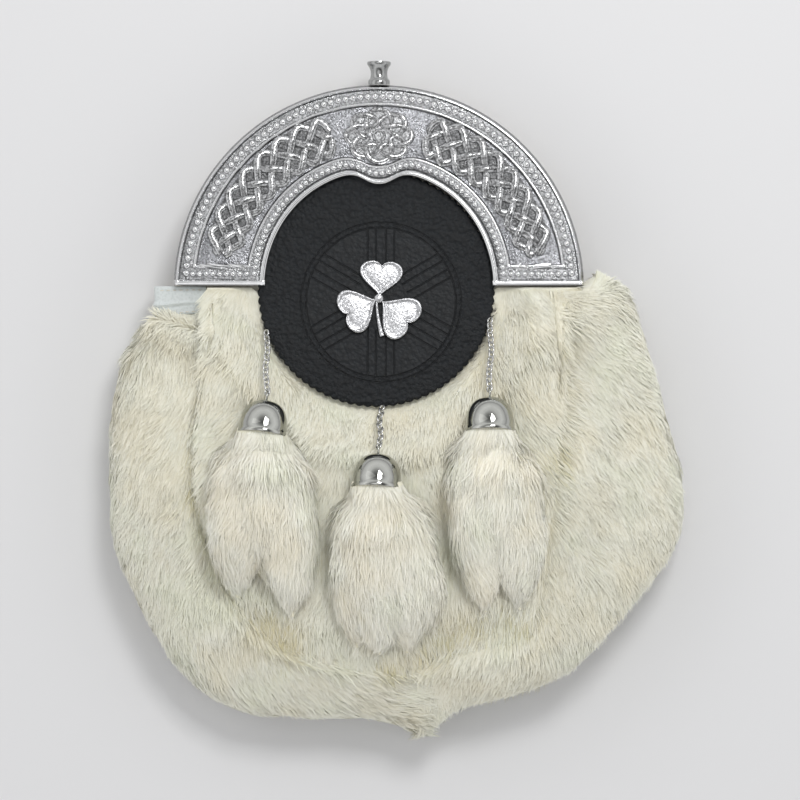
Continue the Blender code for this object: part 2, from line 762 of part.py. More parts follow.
def make_roundel():
    """Black leather disc with a scalloped edge, tucked under the cantle and lying on the fur."""
    outline = []
    for i in range(2 * SCALLOPS):
        angle = math.pi * i / SCALLOPS
        radius = ROUNDEL_RADIUS - (SCALLOP_DEPTH if i % 2 else 0)
        outline.append((ROUNDEL_X + radius * math.cos(angle), radius * math.sin(angle)))
    mesh = flat_outline("leather_roundel", outline, ROUNDEL_THICKNESS)
    mesh.transform(Matrix.Rotation(-math.atan(MOUTH_SLOPE), 4, "X"))
    mesh.transform(Matrix.Translation((0, 0, roundel_plane(0) + 0.00005)))
    add_node("leather_roundel", mesh, "leather_black", smooth=False)


def heart_outline(row):
    """A heart with its tip where the row says, from the usual sine and cosine series."""
    heart = dict(zip(HEART_COLUMNS, row))
    turn = math.radians(heart["points"] - 90)
    outline = []
    steps = 22
    scale = HEART_LENGTH * heart["size"] / 29.0
    for i in range(steps):
        t = 2 * math.pi * (i + 0.5) / steps
        across = 16 * math.sin(t) ** 3 * scale
        up = (13 * math.cos(t) - 5 * math.cos(2 * t) - 2 * math.cos(3 * t) - math.cos(4 * t) + 16.5) * scale
        outline.append((
            heart["x"] + across * math.cos(turn) - up * math.sin(turn),
            BADGE_Y + heart["y"] + across * math.sin(turn) + up * math.cos(turn),
        ))
    return outline


def make_badge():
    """Three-leaved clover badge: three hearts on a bent stem, united into one casting."""
    shapes = [flat_outline("leaf", heart_outline(row), BADGE_THICKNESS) for row in HEARTS]
    stem = []
    for share, half in ((0.0, 0.0009), (0.45, 0.0008), (0.8, 0.0010), (1.0, 0.0013)):
        stem.append((share, half))
    left = [(-0.0009 + 0.0022 * s**2 - half, BADGE_Y + 0.001 - 0.0150 * s) for s, half in stem]
    right = [(-0.0009 + 0.0022 * s**2 + half, BADGE_Y + 0.001 - 0.0150 * s) for s, half in stem]
    shapes.append(flat_outline("stem", left + right[::-1], BADGE_THICKNESS * 0.8))
    bpy.ops.mesh.primitive_cylinder_add(vertices=12, radius=0.0021, depth=BADGE_THICKNESS * 0.9)
    boss = bpy.context.object
    boss_mesh = boss.data
    boss_mesh.transform(Matrix.Translation((0, BADGE_Y, BADGE_THICKNESS * 0.45 + 0.00002)))
    bpy.data.objects.remove(boss)
    mesh = united("shamrock_badge", [*shapes, boss_mesh])
    mesh.transform(Matrix.Rotation(-math.atan(MOUTH_SLOPE), 4, "X"))
    mesh.transform(Matrix.Translation((0, 0, roundel_plane(0) + ROUNDEL_THICKNESS + CLEARANCE)))
    add_node("shamrock_badge", mesh, "badge_metal")


def bell_frame(bell, surface):
    """Where a bell lies: the matrix that takes its turned shape, rim at z = 0, to its place."""
    rim_x, rim_y = bell["rim"]
    turn = Matrix.Rotation(math.radians(bell["turn"]), 4, "Z")
    lay = Matrix.Rotation(-math.pi / 2 - BELL_TILT, 4, "X")
    highest = 0.0
    for step in range(9):
        for side in (-0.95, -0.8, -0.6, -0.3, 0.0, 0.3, 0.6, 0.8, 0.95):
            back = step / 8 * BELL_HEIGHT
            radius = BELL_RADIUS * (1.04 - (step / 8) ** 2.6)
            drop = radius * math.sqrt(1 - side**2) + back * math.sin(BELL_TILT)
            x = rim_x + side * BELL_RADIUS
            need = surface(x, rim_y + back) + drop
            highest = max(highest, need)
    return Matrix.Translation((rim_x, rim_y, highest + TASSEL_CLEARANCE)) @ turn @ lay


def make_bell(name, frame):
    """Domed cup with a wall of one thickness and a loop on its top."""
    wall = BELL_WALL / BELL_RADIUS
    ceiling = 1 - 1.5 * BELL_WALL / BELL_HEIGHT
    hollow = ((BELL_PROFILE[-1][0] - wall, 0.0), (0.80 - wall, 0.66), (0.45 - wall, 0.86), (0.0, ceiling))
    cup = turned(name, BELL_PROFILE + hollow, BELL_RADIUS, BELL_HEIGHT, BELL_STEPS)
    bpy.ops.mesh.primitive_torus_add(
        major_segments=10, minor_segments=6, major_radius=LOOP_RADIUS, minor_radius=LOOP_WIRE / 2
    )
    loop = bpy.context.object
    loop_mesh = loop.data
    loop_mesh.transform(Matrix.Rotation(math.pi / 2, 4, "Y"))
    loop_mesh.transform(Matrix.Translation((0, 0, BELL_HEIGHT + LOOP_RADIUS - LOOP_SINK)))
    bpy.data.objects.remove(loop)
    mesh = united(name, [cup, loop_mesh])
    mesh.transform(frame)
    add_node(name, mesh, "chrome")


def link_mesh(centre, ahead, side, length):
    """One oval link of round wire. Its long axis is ahead, its short axis side."""
    up = ahead.cross(side).normalized()
    rings = []
    half_run = (length - LINK_WIDTH) / 2
    bend = (LINK_WIDTH - LINK_WIRE) / 2
    for i in range(LINK_SIDES):
        turn = 2 * math.pi * (i + 0.5) / LINK_SIDES
        shift = half_run if math.cos(turn) > 0 else -half_run
        outward = ahead * math.cos(turn) + side * math.sin(turn)
        middle = centre + ahead * shift + outward * bend
        ring = []
        for j in range(WIRE_SIDES):
            around = 2 * math.pi * j / WIRE_SIDES
            ring.append(middle + (outward * math.cos(around) + up * math.sin(around)) * LINK_WIRE / 2)
        rings.append(ring)
    return loft("link", rings, round_trip=True)


def make_chain(name, bell, frame, surface):
    """Links from the roundel's edge to the loop of a bell, each turned a quarter from the last."""
    loop_middle = frame @ Vector((0, 0, BELL_HEIGHT + LOOP_RADIUS - LOOP_SINK))
    pull = (frame.to_3x3() @ Vector((0, 0, 1))).normalized()
    hooked = loop_middle + pull * (LOOP_RADIUS - LOOP_WIRE / 2 - LINK_WIRE / 2 - CLEARANCE)
    top_x = bell["chain_x"]
    beside = abs(top_x - ROUNDEL_X) / ROUNDEL_RADIUS
    margin = CLEARANCE + LINK_WIRE / 2 + (LINK_WIDTH / 2 - LINK_WIRE / 2) * beside
    top_y = -math.sqrt((ROUNDEL_RADIUS + margin) ** 2 - (top_x - ROUNDEL_X) ** 2)
    resting = surface(top_x, top_y) + LINK_WIDTH / 2 + CLEARANCE
    top = Vector((top_x, top_y, max(roundel_plane(top_y) + ROUNDEL_THICKNESS / 2, resting)))
    run = top - hooked
    nominal = LINK_LENGTH - 2 * LINK_WIRE + LINK_BITE
    count = max(2, round((run.length - LINK_WIRE + LINK_BITE) / nominal))
    pitch = (run.length - LINK_WIRE + LINK_BITE) / count
    length = pitch + 2 * LINK_WIRE - LINK_BITE
    ahead = run.normalized()
    level = Vector((0, 0, 1)).cross(ahead).normalized()
    links = []
    for i in range(count):
        centre = hooked + ahead * ((length - LINK_WIRE) / 2 + pitch * i)
        side = level if i % 2 == 0 else ahead.cross(level).normalized()
        links.append(link_mesh(centre, ahead, side, length))
    add_node(name, united(name, links), "chrome")


def tassel_lock(row, frame, surface, extra):
    """One lock of a tassel, from inside the bell down over the fur to its tip."""
    lock = dict(zip(LOCK_COLUMNS, row))
    start = frame @ Vector((0, 0, 0))
    rings = []
    reach = TASSEL_LENGTH * lock["length"]
    mouth = BELL_RADIUS - BELL_WALL - 0.0006
    for i in range(LOCK_RINGS + 1):
        share = i / LOCK_RINGS
        swell = math.sin(math.pi * min(1.0, share * 0.80 + 0.20)) ** 0.5
        half = max(0.0006, TASSEL_HALF_WIDTH * lock["width"] * swell)
        thick = max(0.0006, TASSEL_THICKNESS * lock["thickness"] * swell)
        held = 1 - smooth_step(share / 0.16)
        half = half * (1 - held) + mouth * 0.90 * held
        thick = thick * (1 - held) + mouth * 0.90 * held
        near = lock["root"] * (1 - share) ** 2 * (0.35 if i > 0 else 0.20)
        bow = 2 * lock["middle"] * share * (1 - share)
        sideways = (near + bow + lock["tip"] * share**2) * TASSEL_HALF_WIDTH
        x = start.x + sideways
        y = start.y - max(reach * share, 0.0008)
        resting = surface(x, y) + TASSEL_CLEARANCE + extra + thick * 0.94
        z = resting * (1 - held) + (start.z - 0.0012 * (1 - held)) * held
        ring = []
        for j in range(LOCK_SIDES):
            around = 2 * math.pi * j / LOCK_SIDES
            spot = Vector((x + half * math.cos(around), y, z + thick * math.sin(around)))
            nearby = reach / LOCK_RINGS / 2
            highest = max(surface(spot.x, spot.y + shift) for shift in (-nearby, 0, nearby))
            floor = highest + TASSEL_CLEARANCE + extra
            if spot.z < floor and share > 0.1:
                spot.z = floor
            ring.append(spot)
        rings.append(ring)
    return loft("lock", rings)


def tassel_head(frame):
    """The bound head of a tassel inside its bell."""
    mouth = BELL_RADIUS - BELL_WALL - 0.0006
    rings = []
    for depth, share in ((0.0072, 0.62), (0.0050, 0.84), (0.0, 0.93), (-0.0055, 0.98)):
        ring = []
        for j in range(12):
            around = 2 * math.pi * (j + 0.5) / 12
            ring.append(frame @ Vector((mouth * share * math.cos(around), mouth * share * math.sin(around), depth)))
        rings.append(ring)
    return loft("head", rings)


def make_tassel(name, locks, frame, surface):
    shapes = [tassel_head(frame)]
    for number, row in enumerate(locks):
        shapes.append(tassel_lock(row, frame, surface, 0.00011 * number))
    add_node(name, united(name, shapes), "fur")


def make_shoulder_tab():
    """White leather end of the gusset, folded out over the left shoulder and down its side."""
    low_end = 0.5 * STRAIGHT_SHARE * TAB_WIDTH / (BODY_LENGTH * WIDEST_AT)
    outer_x = edge_point(low_end).x - TAB_STANDS_OUT
    inner_x = outer_x + TAB_LENGTH
    top = EDGE_HEIGHT + CLEARANCE
    high = top + LEATHER
    bend = TAB_BEND
    profile = [(inner_x, top), (inner_x, high)]
    for step in range(5):
        turn = math.radians(90 + 90 * step / 4)
        profile.append((outer_x + bend + bend * math.cos(turn), high - bend + bend * math.sin(turn)))
    profile.append((outer_x - 0.0006, high - TAB_DROP))
    profile.append((outer_x - 0.0006 + LEATHER, high - TAB_DROP))
    inside = bend - LEATHER
    profile.append((outer_x + LEATHER, high - bend))
    profile.append((outer_x + bend, high - bend + inside))
    rings = []
    for share in (0.0, 0.25, 0.5, 0.75, 1.0):
        ring = []
        for x, z in profile:
            towards = (x - outer_x) / TAB_LENGTH
            low = -TAB_WIDTH + TAB_WIDTH * 0.45 * smooth_step(towards * 1.3)
            y = low + (0.0002 - low) * share
            fold = 0.0007 * math.exp(-(((share - 0.42) / 0.16) ** 2)) * smooth_step(1 - towards)
            ring.append((x, y, z + fold if z > high - bend else z))
        rings.append(ring)
    add_node("shoulder_tab", loft("shoulder_tab", rings), "leather_white")


def surface_under(*names):
    """A function giving the height of the named pieces' upper side at x, y, or of the edge where none is."""
    bpy.context.view_layer.update()
    graph = bpy.context.evaluated_depsgraph_get()
    trees = [BVHTree.FromObject(bpy.data.objects[name], graph) for name in names]

    def height(x, y):
        found = 0.0
        for tree in trees:
            for shift_x, shift_y in ((0, 0), (0.0002, 0.0001)):
                spot = tree.ray_cast(Vector((x + shift_x, y + shift_y, 1.0)), Vector((0, 0, -1)))[0]
                if spot is not None:
                    found = max(found, spot.z)
        return found if found > 0 else EDGE_HEIGHT

    return height


def stand_on_origin():
    """Moves all pieces so that the middle of the whole lies over the origin, with its lowest point at z = 0."""
    bpy.context.view_layer.update()
    graph = bpy.context.evaluated_depsgraph_get()
    corners = []
    for thing in parts.objects:
        mesh = thing.evaluated_get(graph).to_mesh()
        corners += [thing.matrix_world @ point.co for point in mesh.vertices]
    spots = np.array([tuple(corner) for corner in corners])
    low, high = spots.min(axis=0), spots.max(axis=0)
    shift = Vector((-(low[0] + high[0]) / 2, -(low[1] + high[1]) / 2, -low[2]))
    for thing in list(parts.objects) + list(cutters.objects):
        thing.location = thing.location + shift
    print("shift in mm:", [round(value * 1000, 3) for value in shift], "size:", (high - low) * 1000)


for old in list(bpy.data.objects):
    bpy.data.objects.remove(old)
parts = bpy.data.collections.new("sporran_pouch")
cutters = bpy.data.collections.new("cutters")
bpy.context.scene.collection.children.link(parts)
bpy.context.scene.collection.children.link(cutters)

make_back_panel()
make_hanging_strap()
make_gusset()
make_front_panel()
panel_height = surface_under("front_panel")
make_border("fur_border_left", LEFT_BORDER, 24, panel_height)
make_border("fur_border_right", RIGHT_BORDER, 24, panel_height)
make_fur_center(panel_height)
make_shoulder_tab()
make_cantle()
make_knob()
make_roundel()
make_badge()
fur_height = surface_under("fur_center", "fur_border_left", "fur_border_right")
for side_name, bell in BELLS.items():
    frame = bell_frame(bell, fur_height)
    make_bell(f"bell_{side_name}", frame)
    make_chain(f"chain_{side_name}", bell, frame, fur_height)
    make_tassel(f"tassel_{side_name}", LOCKS[side_name], frame, fur_height)
stand_on_origin()
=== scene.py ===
# Dress sporran pouch: white fur body, plated arch cantle, black roundel with a clover badge, three tassels.
# Lengths are in metres. Shapes are worked out round the middle of the cantle's arch, then moved on to the
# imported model, which gives the place and the heights.

import bpy
import numpy as np
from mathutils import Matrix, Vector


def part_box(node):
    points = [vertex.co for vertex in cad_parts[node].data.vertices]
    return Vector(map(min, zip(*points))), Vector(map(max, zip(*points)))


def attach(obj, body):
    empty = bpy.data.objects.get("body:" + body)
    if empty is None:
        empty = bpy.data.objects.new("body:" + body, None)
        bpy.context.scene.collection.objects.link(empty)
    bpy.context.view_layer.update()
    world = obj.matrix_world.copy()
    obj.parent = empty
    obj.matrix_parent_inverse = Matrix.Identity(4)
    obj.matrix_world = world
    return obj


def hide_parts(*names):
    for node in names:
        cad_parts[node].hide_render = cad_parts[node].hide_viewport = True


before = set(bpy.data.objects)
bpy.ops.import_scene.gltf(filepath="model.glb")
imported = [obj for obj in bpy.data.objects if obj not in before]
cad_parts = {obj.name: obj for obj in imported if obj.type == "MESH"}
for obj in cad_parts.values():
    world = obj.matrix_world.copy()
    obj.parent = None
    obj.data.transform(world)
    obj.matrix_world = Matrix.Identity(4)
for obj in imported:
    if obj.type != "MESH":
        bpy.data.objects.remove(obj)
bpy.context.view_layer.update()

cantleLow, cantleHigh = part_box("cantle")
archRadius = 0.0783
archMiddle = np.array([(cantleLow[0] + cantleHigh[0]) / 2, cantleHigh[1] - archRadius, 0.0])

millimetre = 0.001
turn = 2 * np.pi


# Numbers and shapes

def stacked(*values):
    return np.stack(np.broadcast_arrays(*values), axis=-1)


def unit(vectors):
    return vectors / np.maximum(np.linalg.norm(vectors, axis=-1, keepdims=True), 1e-12)


def eased(value):
    # three times the square less twice the cube, from 0 to 1
    value = np.clip(value, 0, 1)
    return value * value * (3 - 2 * value)


def softNoise(x, y, size, seed):
    # random heights on a lattice of this size, blended between the four nearest knots
    knots = np.random.default_rng(seed).uniform(-1, 1, (97, 89))
    across = x / size + 400.37
    along = y / size + 400.81
    i = np.floor(across).astype(int)
    j = np.floor(along).astype(int)
    s = eased(across - i)
    t = eased(along - j)
    near = knots[i % 97, j % 89] * (1 - s) + knots[(i + 1) % 97, j % 89] * s
    far = knots[i % 97, (j + 1) % 89] * (1 - s) + knots[(i + 1) % 97, (j + 1) % 89] * s
    return near * (1 - t) + far * t


def curvePast(rows, place):
    # smooth curves through rows of (place, value, value...): cubic pieces with slopes from both neighbours
    rows = np.array(rows, float)
    places, values = rows[:, 0], rows[:, 1:]
    i = np.clip(np.searchsorted(places, place) - 1, 0, len(rows) - 2)
    share = np.clip((place - places[i]) / (places[i + 1] - places[i]), 0, 1)[..., None]
    before, start, end = values[np.maximum(i - 1, 0)], values[i], values[i + 1]
    after = values[np.minimum(i + 2, len(rows) - 1)]
    slopeIn, slopeOut = (end - before) / 2, (after - start) / 2
    cubic = 2 * (start - end) + slopeIn + slopeOut
    square = 3 * (end - start) - 2 * slopeIn - slopeOut
    return ((cubic * share + square) * share + slopeIn) * share + start


def gridShape(spots, loopRows=False, loopColumns=False, capRows=False):
    # a skin over a grid of points: two triangles for each cell, and a fan on each end ring if it is capped
    rows, columns = spots.shape[:2]
    i, j = np.meshgrid(
        np.arange(rows if loopRows else rows - 1),
        np.arange(columns if loopColumns else columns - 1),
        indexing="ij",
    )
    nextI, nextJ = (i + 1) % rows, (j + 1) % columns
    a, b = i * columns + j, nextI * columns + j
    c, d = nextI * columns + nextJ, i * columns + nextJ
    faces = np.concatenate([np.stack([a, b, c], -1).reshape(-1, 3), np.stack([a, c, d], -1).reshape(-1, 3)])
    points = spots.reshape(-1, 3)
    marks = np.zeros((len(points), 2))
    if capRows:
        ring = np.arange(columns)
        after = (ring + 1) % columns
        total = len(points)
        last = (rows - 1) * columns
        points = np.concatenate([points, spots[0].mean(0)[None], spots[-1].mean(0)[None]])
        marks = np.concatenate([marks, marks[:1], marks[last:last + 1]])
        first = np.stack([ring, after, np.full(columns, total)], -1)
        end = np.stack([last + after, last + ring, np.full(columns, total + 1)], -1)
        faces = np.concatenate([faces, first, end])
    return {"points": points, "faces": faces, "uv": marks}


def facedOut(shape):
    # turns a closed skin inside out if the volume that its faces enclose comes out negative
    a, b, c = (shape["points"][shape["faces"][:, k]] for k in range(3))
    if np.einsum("ij,ij->", a, np.cross(b, c)) < 0:
        shape["faces"] = shape["faces"][:, ::-1]
    return shape


def pointNormals(shape):
    # the sum of the faces' normals round each point
    points, faces = shape["points"], shape["faces"]
    a, b, c = (points[faces[:, k]] for k in range(3))
    across = np.cross(b - a, c - a)
    total = np.zeros_like(points)
    for k in range(3):
        np.add.at(total, faces[:, k], across)
    return unit(total)


def together(shapes):
    points, faces, marks, start = [], [], [], 0
    for shape in shapes:
        points.append(shape["points"])
        faces.append(shape["faces"] + start)
        marks.append(shape["uv"])
        start += len(shape["points"])
    return {"points": np.concatenate(points), "faces": np.concatenate(faces), "uv": np.concatenate(marks)}


def turnedShape(profile, steps, radius, height):
    # radius and height shares carried round the upright axis
    profile = np.array(profile, float)
    angle = np.linspace(0, turn, steps, endpoint=False)[:, None]
    spots = stacked(
        profile[None, :, 0] * radius * np.cos(angle),
        profile[None, :, 0] * radius * np.sin(angle),
        profile[None, :, 1] * height + 0 * angle,
    )
    return facedOut(gridShape(spots, loopRows=True))


def tubeShape(path, up, halfWidth, halfHeight, sides, closed=False):
    # an ellipse carried along a path, its height towards "up"
    path = np.asarray(path, float)
    if closed:
        ahead = unit(np.roll(path, -1, 0) - np.roll(path, 1, 0))
    else:
        ahead = unit(np.gradient(path, axis=0))
    side = unit(np.cross(ahead, np.broadcast_to(up, path.shape)))
    rise = unit(np.cross(side, ahead))
    angle = np.linspace(0, turn, sides, endpoint=False)
    wide = np.broadcast_to(halfWidth, len(path))[:, None, None]
    tall = np.broadcast_to(halfHeight, len(path))[:, None, None]
    ring = side[:, None] * np.cos(angle)[None, :, None] * wide + rise[:, None] * np.sin(angle)[None, :, None] * tall
    spots = path[:, None] + ring
    return facedOut(gridShape(spots, loopRows=closed, loopColumns=True, capRows=not closed))


def repeated(shape, places, sides, ups, sizes):
    # one small shape set at many places, each with its own axes and size
    side, up = unit(sides), unit(ups)
    front = np.cross(up, side)
    base = shape["points"]
    sizes = np.broadcast_to(np.asarray(sizes, float), (len(places), 3))
    spots = (
        places[:, None]
        + base[None, :, 0:1] * side[:, None] * sizes[:, None, 0:1]
        + base[None, :, 1:2] * front[:, None] * sizes[:, None, 1:2]
        + base[None, :, 2:3] * up[:, None] * sizes[:, None, 2:3]
    )
    count = len(base)
    faces = shape["faces"][None] + (np.arange(len(places)) * count)[:, None, None]
    marks = np.tile(shape["uv"], (len(places), 1))
    return {"points": spots.reshape(-1, 3), "faces": faces.reshape(-1, 3), "uv": marks}


def addPiece(name, shape, materials, replaces=(), normals=None, materialOf=None):
    points = shape["points"] + archMiddle
    faces = shape["faces"]
    mesh = bpy.data.meshes.new(name)
    mesh.vertices.add(len(points))
    mesh.vertices.foreach_set("co", points.astype(np.float32).ravel())
    mesh.loops.add(faces.size)
    mesh.loops.foreach_set("vertex_index", faces.astype(np.int32).ravel())
    mesh.polygons.add(len(faces))
    mesh.polygons.foreach_set("loop_start", np.arange(0, faces.size, 3, dtype=np.int32))
    mesh.polygons.foreach_set("loop_total", np.full(len(faces), 3, dtype=np.int32))
    for material in materials:
        mesh.materials.append(material)
    if materialOf is not None:
        mesh.polygons.foreach_set("material_index", materialOf.astype(np.int32))
    layer = mesh.uv_layers.new(name="strand")
    layer.data.foreach_set("uv", shape["uv"][faces.ravel()].astype(np.float32).ravel())
    mesh.update()
    mesh.shade_smooth()
    if normals is None:
        mesh.set_sharp_from_angle(angle=np.radians(50))
    else:
        mesh.normals_split_custom_set_from_vertices(normals.astype(np.float32))
    piece = bpy.data.objects.new(name, mesh)
    bpy.context.scene.collection.objects.link(piece)
    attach(piece, "root")
    if replaces:
        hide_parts(*replaces)
    return piece


# Materials

def newMaterial(name, colour, roughness, metallic=0.0, sheen=0.0):
    material = bpy.data.materials.new(name)
    material.use_nodes = True
    shader = material.node_tree.nodes["Principled BSDF"]
    shader.inputs["Base Color"].default_value = (*colour, 1)
    shader.inputs["Roughness"].default_value = roughness
    shader.inputs["Metallic"].default_value = metallic
    shader.inputs["Sheen Weight"].default_value = sheen
    return material, shader


def addNode(material, kind, **settings):
    node = material.node_tree.nodes.new(kind)
    for key, value in settings.items():
        if key in node.inputs.keys():
            node.inputs[key].default_value = value
        else:
            setattr(node, key, value)
    return node


def join(material, start, end):
    material.node_tree.links.new(start, end)


def placeOf(material):
    return addNode(material, "ShaderNodeTexCoord").outputs["Object"]


def noiseOf(material, scale, detail=3.0, roughness=0.55):
    noise = addNode(material, "ShaderNodeTexNoise", Scale=scale, Detail=detail, Roughness=roughness)
    join(material, placeOf(material), noise.inputs["Vector"])
    return noise.outputs["Fac"]


def rampOf(material, value, stops):
    ramp = addNode(material, "ShaderNodeValToRGB")
    elements = ramp.color_ramp.elements
    while len(elements) < len(stops):
        elements.new(0.5)
    for element, (place, colour) in zip(elements, stops):
        element.position = place
        element.color = (*colour, 1)
    join(material, value, ramp.inputs["Fac"])
    return ramp.outputs["Color"]


def grey(value):
    return (value, value, value)


def timesOf(material, first, second):
    mix = addNode(material, "ShaderNodeMix", data_type="RGBA", blend_type="MULTIPLY")
    mix.inputs["Factor"].default_value = 1.0
    join(material, first, mix.inputs[6])
    join(material, second, mix.inputs[7])
    return mix.outputs[2]


def sumOf(material, kind, first, second=None, clamp=False):
    node = addNode(material, "ShaderNodeMath", operation=kind)
    node.use_clamp = clamp
    for socket, value in zip(node.inputs, (first, second)):
        if value is None:
            continue
        if isinstance(value, (int, float)):
            socket.default_value = value
        else:
            join(material, value, socket)
    return node.outputs[0]


def bumpOf(material, shader, height, strength, distance, before=None):
    bump = addNode(material, "ShaderNodeBump", Strength=strength, Distance=distance)
    join(material, height, bump.inputs["Height"])
    if before is not None:
        join(material, before, bump.inputs["Normal"])
    join(material, bump.outputs["Normal"], shader.inputs["Normal"])
    return bump.outputs["Normal"]


# strand tone: random for each strand, and lowered where painted shade is carried; its low end is a warm beige
furTone = ((0.0, (0.80, 0.76, 0.57)), (0.4, (0.95, 0.94, 0.90)), (1.0, grey(1.0)))
furPatches = ((0.34, (1.0, 0.975, 0.935)), (0.52, grey(1.0)), (0.68, (0.98, 0.995, 0.965)))


def makeFurMaterial(name, root, middle, tip):
    # colour from root to tip along the strand, a tone for each strand, random and darkened by painted shade in the
    # creases and below the tassels, and wide warm and cool patches
    material, shader = newMaterial(name, tip, 0.72, sheen=0.25)
    shader.inputs["Sheen Roughness"].default_value = 0.6
    mark = addNode(material, "ShaderNodeUVMap", uv_map="strand")
    parts = addNode(material, "ShaderNodeSeparateXYZ")
    join(material, mark.outputs["UV"], parts.inputs["Vector"])
    along = rampOf(material, parts.outputs["Y"], ((0.0, root), (0.40, middle), (1.0, tip)))
    tone = rampOf(material, parts.outputs["X"], furTone)
    patches = rampOf(material, noiseOf(material, 42, 2.0), furPatches)
    colour = timesOf(material, timesOf(material, along, tone), patches)
    join(material, colour, shader.inputs["Base Color"])
    bumpOf(material, shader, noiseOf(material, 900, 2.0), 0.25, 0.0002)
    return material


def makeLeatherMaterial(name, colour, dark, roughness, grain, depth):
    # pebbled grain from cells, finer noise over it, and a little darker in the hollows
    material, shader = newMaterial(name, colour, roughness)
    cells = addNode(material, "ShaderNodeTexVoronoi", Scale=grain, feature="SMOOTH_F1")
    join(material, placeOf(material), cells.inputs["Vector"])
    fine = noiseOf(material, grain * 1.7, 4.0)
    height = sumOf(material, "ADD", cells.outputs["Distance"], sumOf(material, "MULTIPLY", fine, 0.6))
    bumpOf(material, shader, height, 0.7, depth)
    shade = rampOf(material, height, ((0.3, dark), (0.85, colour)))
    patches = rampOf(material, noiseOf(material, 30, 3.0), ((0.3, grey(0.90)), (0.7, grey(1.0))))
    join(material, timesOf(material, shade, patches), shader.inputs["Base Color"])
    spread = ((0.3, grey(roughness - 0.06)), (0.7, grey(roughness + 0.10)))
    spread = rampOf(material, noiseOf(material, 70, 3.0), spread)
    join(material, spread, shader.inputs["Roughness"])
    return material


def makeChromeMaterial(name, colour, roughness, scale, strength, distance, dark=0.93):
    # bright plate: light wear in the shine, with a stippled ground where the scale and strength say so
    material, shader = newMaterial(name, colour, roughness, metallic=1.0)
    wear = rampOf(material, noiseOf(material, 130, 4.0), ((0.35, grey(roughness * 0.7)), (0.7, grey(roughness * 1.5))))
    join(material, wear, shader.inputs["Roughness"])
    ground = noiseOf(material, scale, 2.0, 0.7)
    bumpOf(material, shader, ground, strength, distance)
    low = tuple(channel * dark for channel in colour)
    join(material, rampOf(material, ground, ((0.38, low), (0.58, colour))), shader.inputs["Base Color"])
    return material


furWhite = makeFurMaterial("furWhite", (0.77, 0.745, 0.61), (0.87, 0.862, 0.752), (0.925, 0.925, 0.832))
tasselWhite = makeFurMaterial("tasselWhite", (0.90, 0.88, 0.76), (0.96, 0.95, 0.855), (0.985, 0.98, 0.905))
leatherCream = makeLeatherMaterial("leatherCream", (0.78, 0.75, 0.65), (0.66, 0.62, 0.52), 0.58, 900, 0.00012)
leatherTab = makeLeatherMaterial("leatherTab", (0.66, 0.70, 0.69), (0.56, 0.60, 0.59), 0.50, 1100, 0.00008)
threadCream = makeLeatherMaterial("threadCream", (0.72, 0.70, 0.62), (0.52, 0.50, 0.42), 0.70, 2600, 0.00005)
plateBright = makeChromeMaterial("plateBright", (0.72, 0.725, 0.73), 0.14, 300, 0.06, 0.0002)
plateStippled = makeChromeMaterial("plateStippled", (0.31, 0.315, 0.33), 0.26, 1300, 0.9, 0.0003, dark=0.45)
plateRecess = makeChromeMaterial("plateRecess", (0.17, 0.172, 0.175), 0.32, 1500, 0.8, 0.0003, dark=0.30)
# painted shade: a darker plate for the channels round the beads, the end bead rows, the outer wall as a painted darker
# reflection, and the ground under the knot
plateShade = makeChromeMaterial("plateShade", (0.35, 0.355, 0.36), 0.28, 1500, 0.8, 0.0003, dark=0.40)
plateBell = makeChromeMaterial("plateBell", (0.47, 0.475, 0.445), 0.08, 200, 0.05, 0.0002)
plateRelief = makeChromeMaterial("plateRelief", (0.56, 0.565, 0.57), 0.20, 900, 0.55, 0.00025, dark=0.38)
plateKnob = makeChromeMaterial("plateKnob", (0.40, 0.405, 0.40), 0.16, 400, 0.12, 0.0002, dark=0.80)
plateChain = makeChromeMaterial("plateChain", (0.62, 0.62, 0.61), 0.20, 600, 0.15, 0.0001)
plateBadge = makeChromeMaterial("plateBadge", (0.66, 0.665, 0.68), 0.30, 1100, 0.8, 0.00026, dark=0.55)


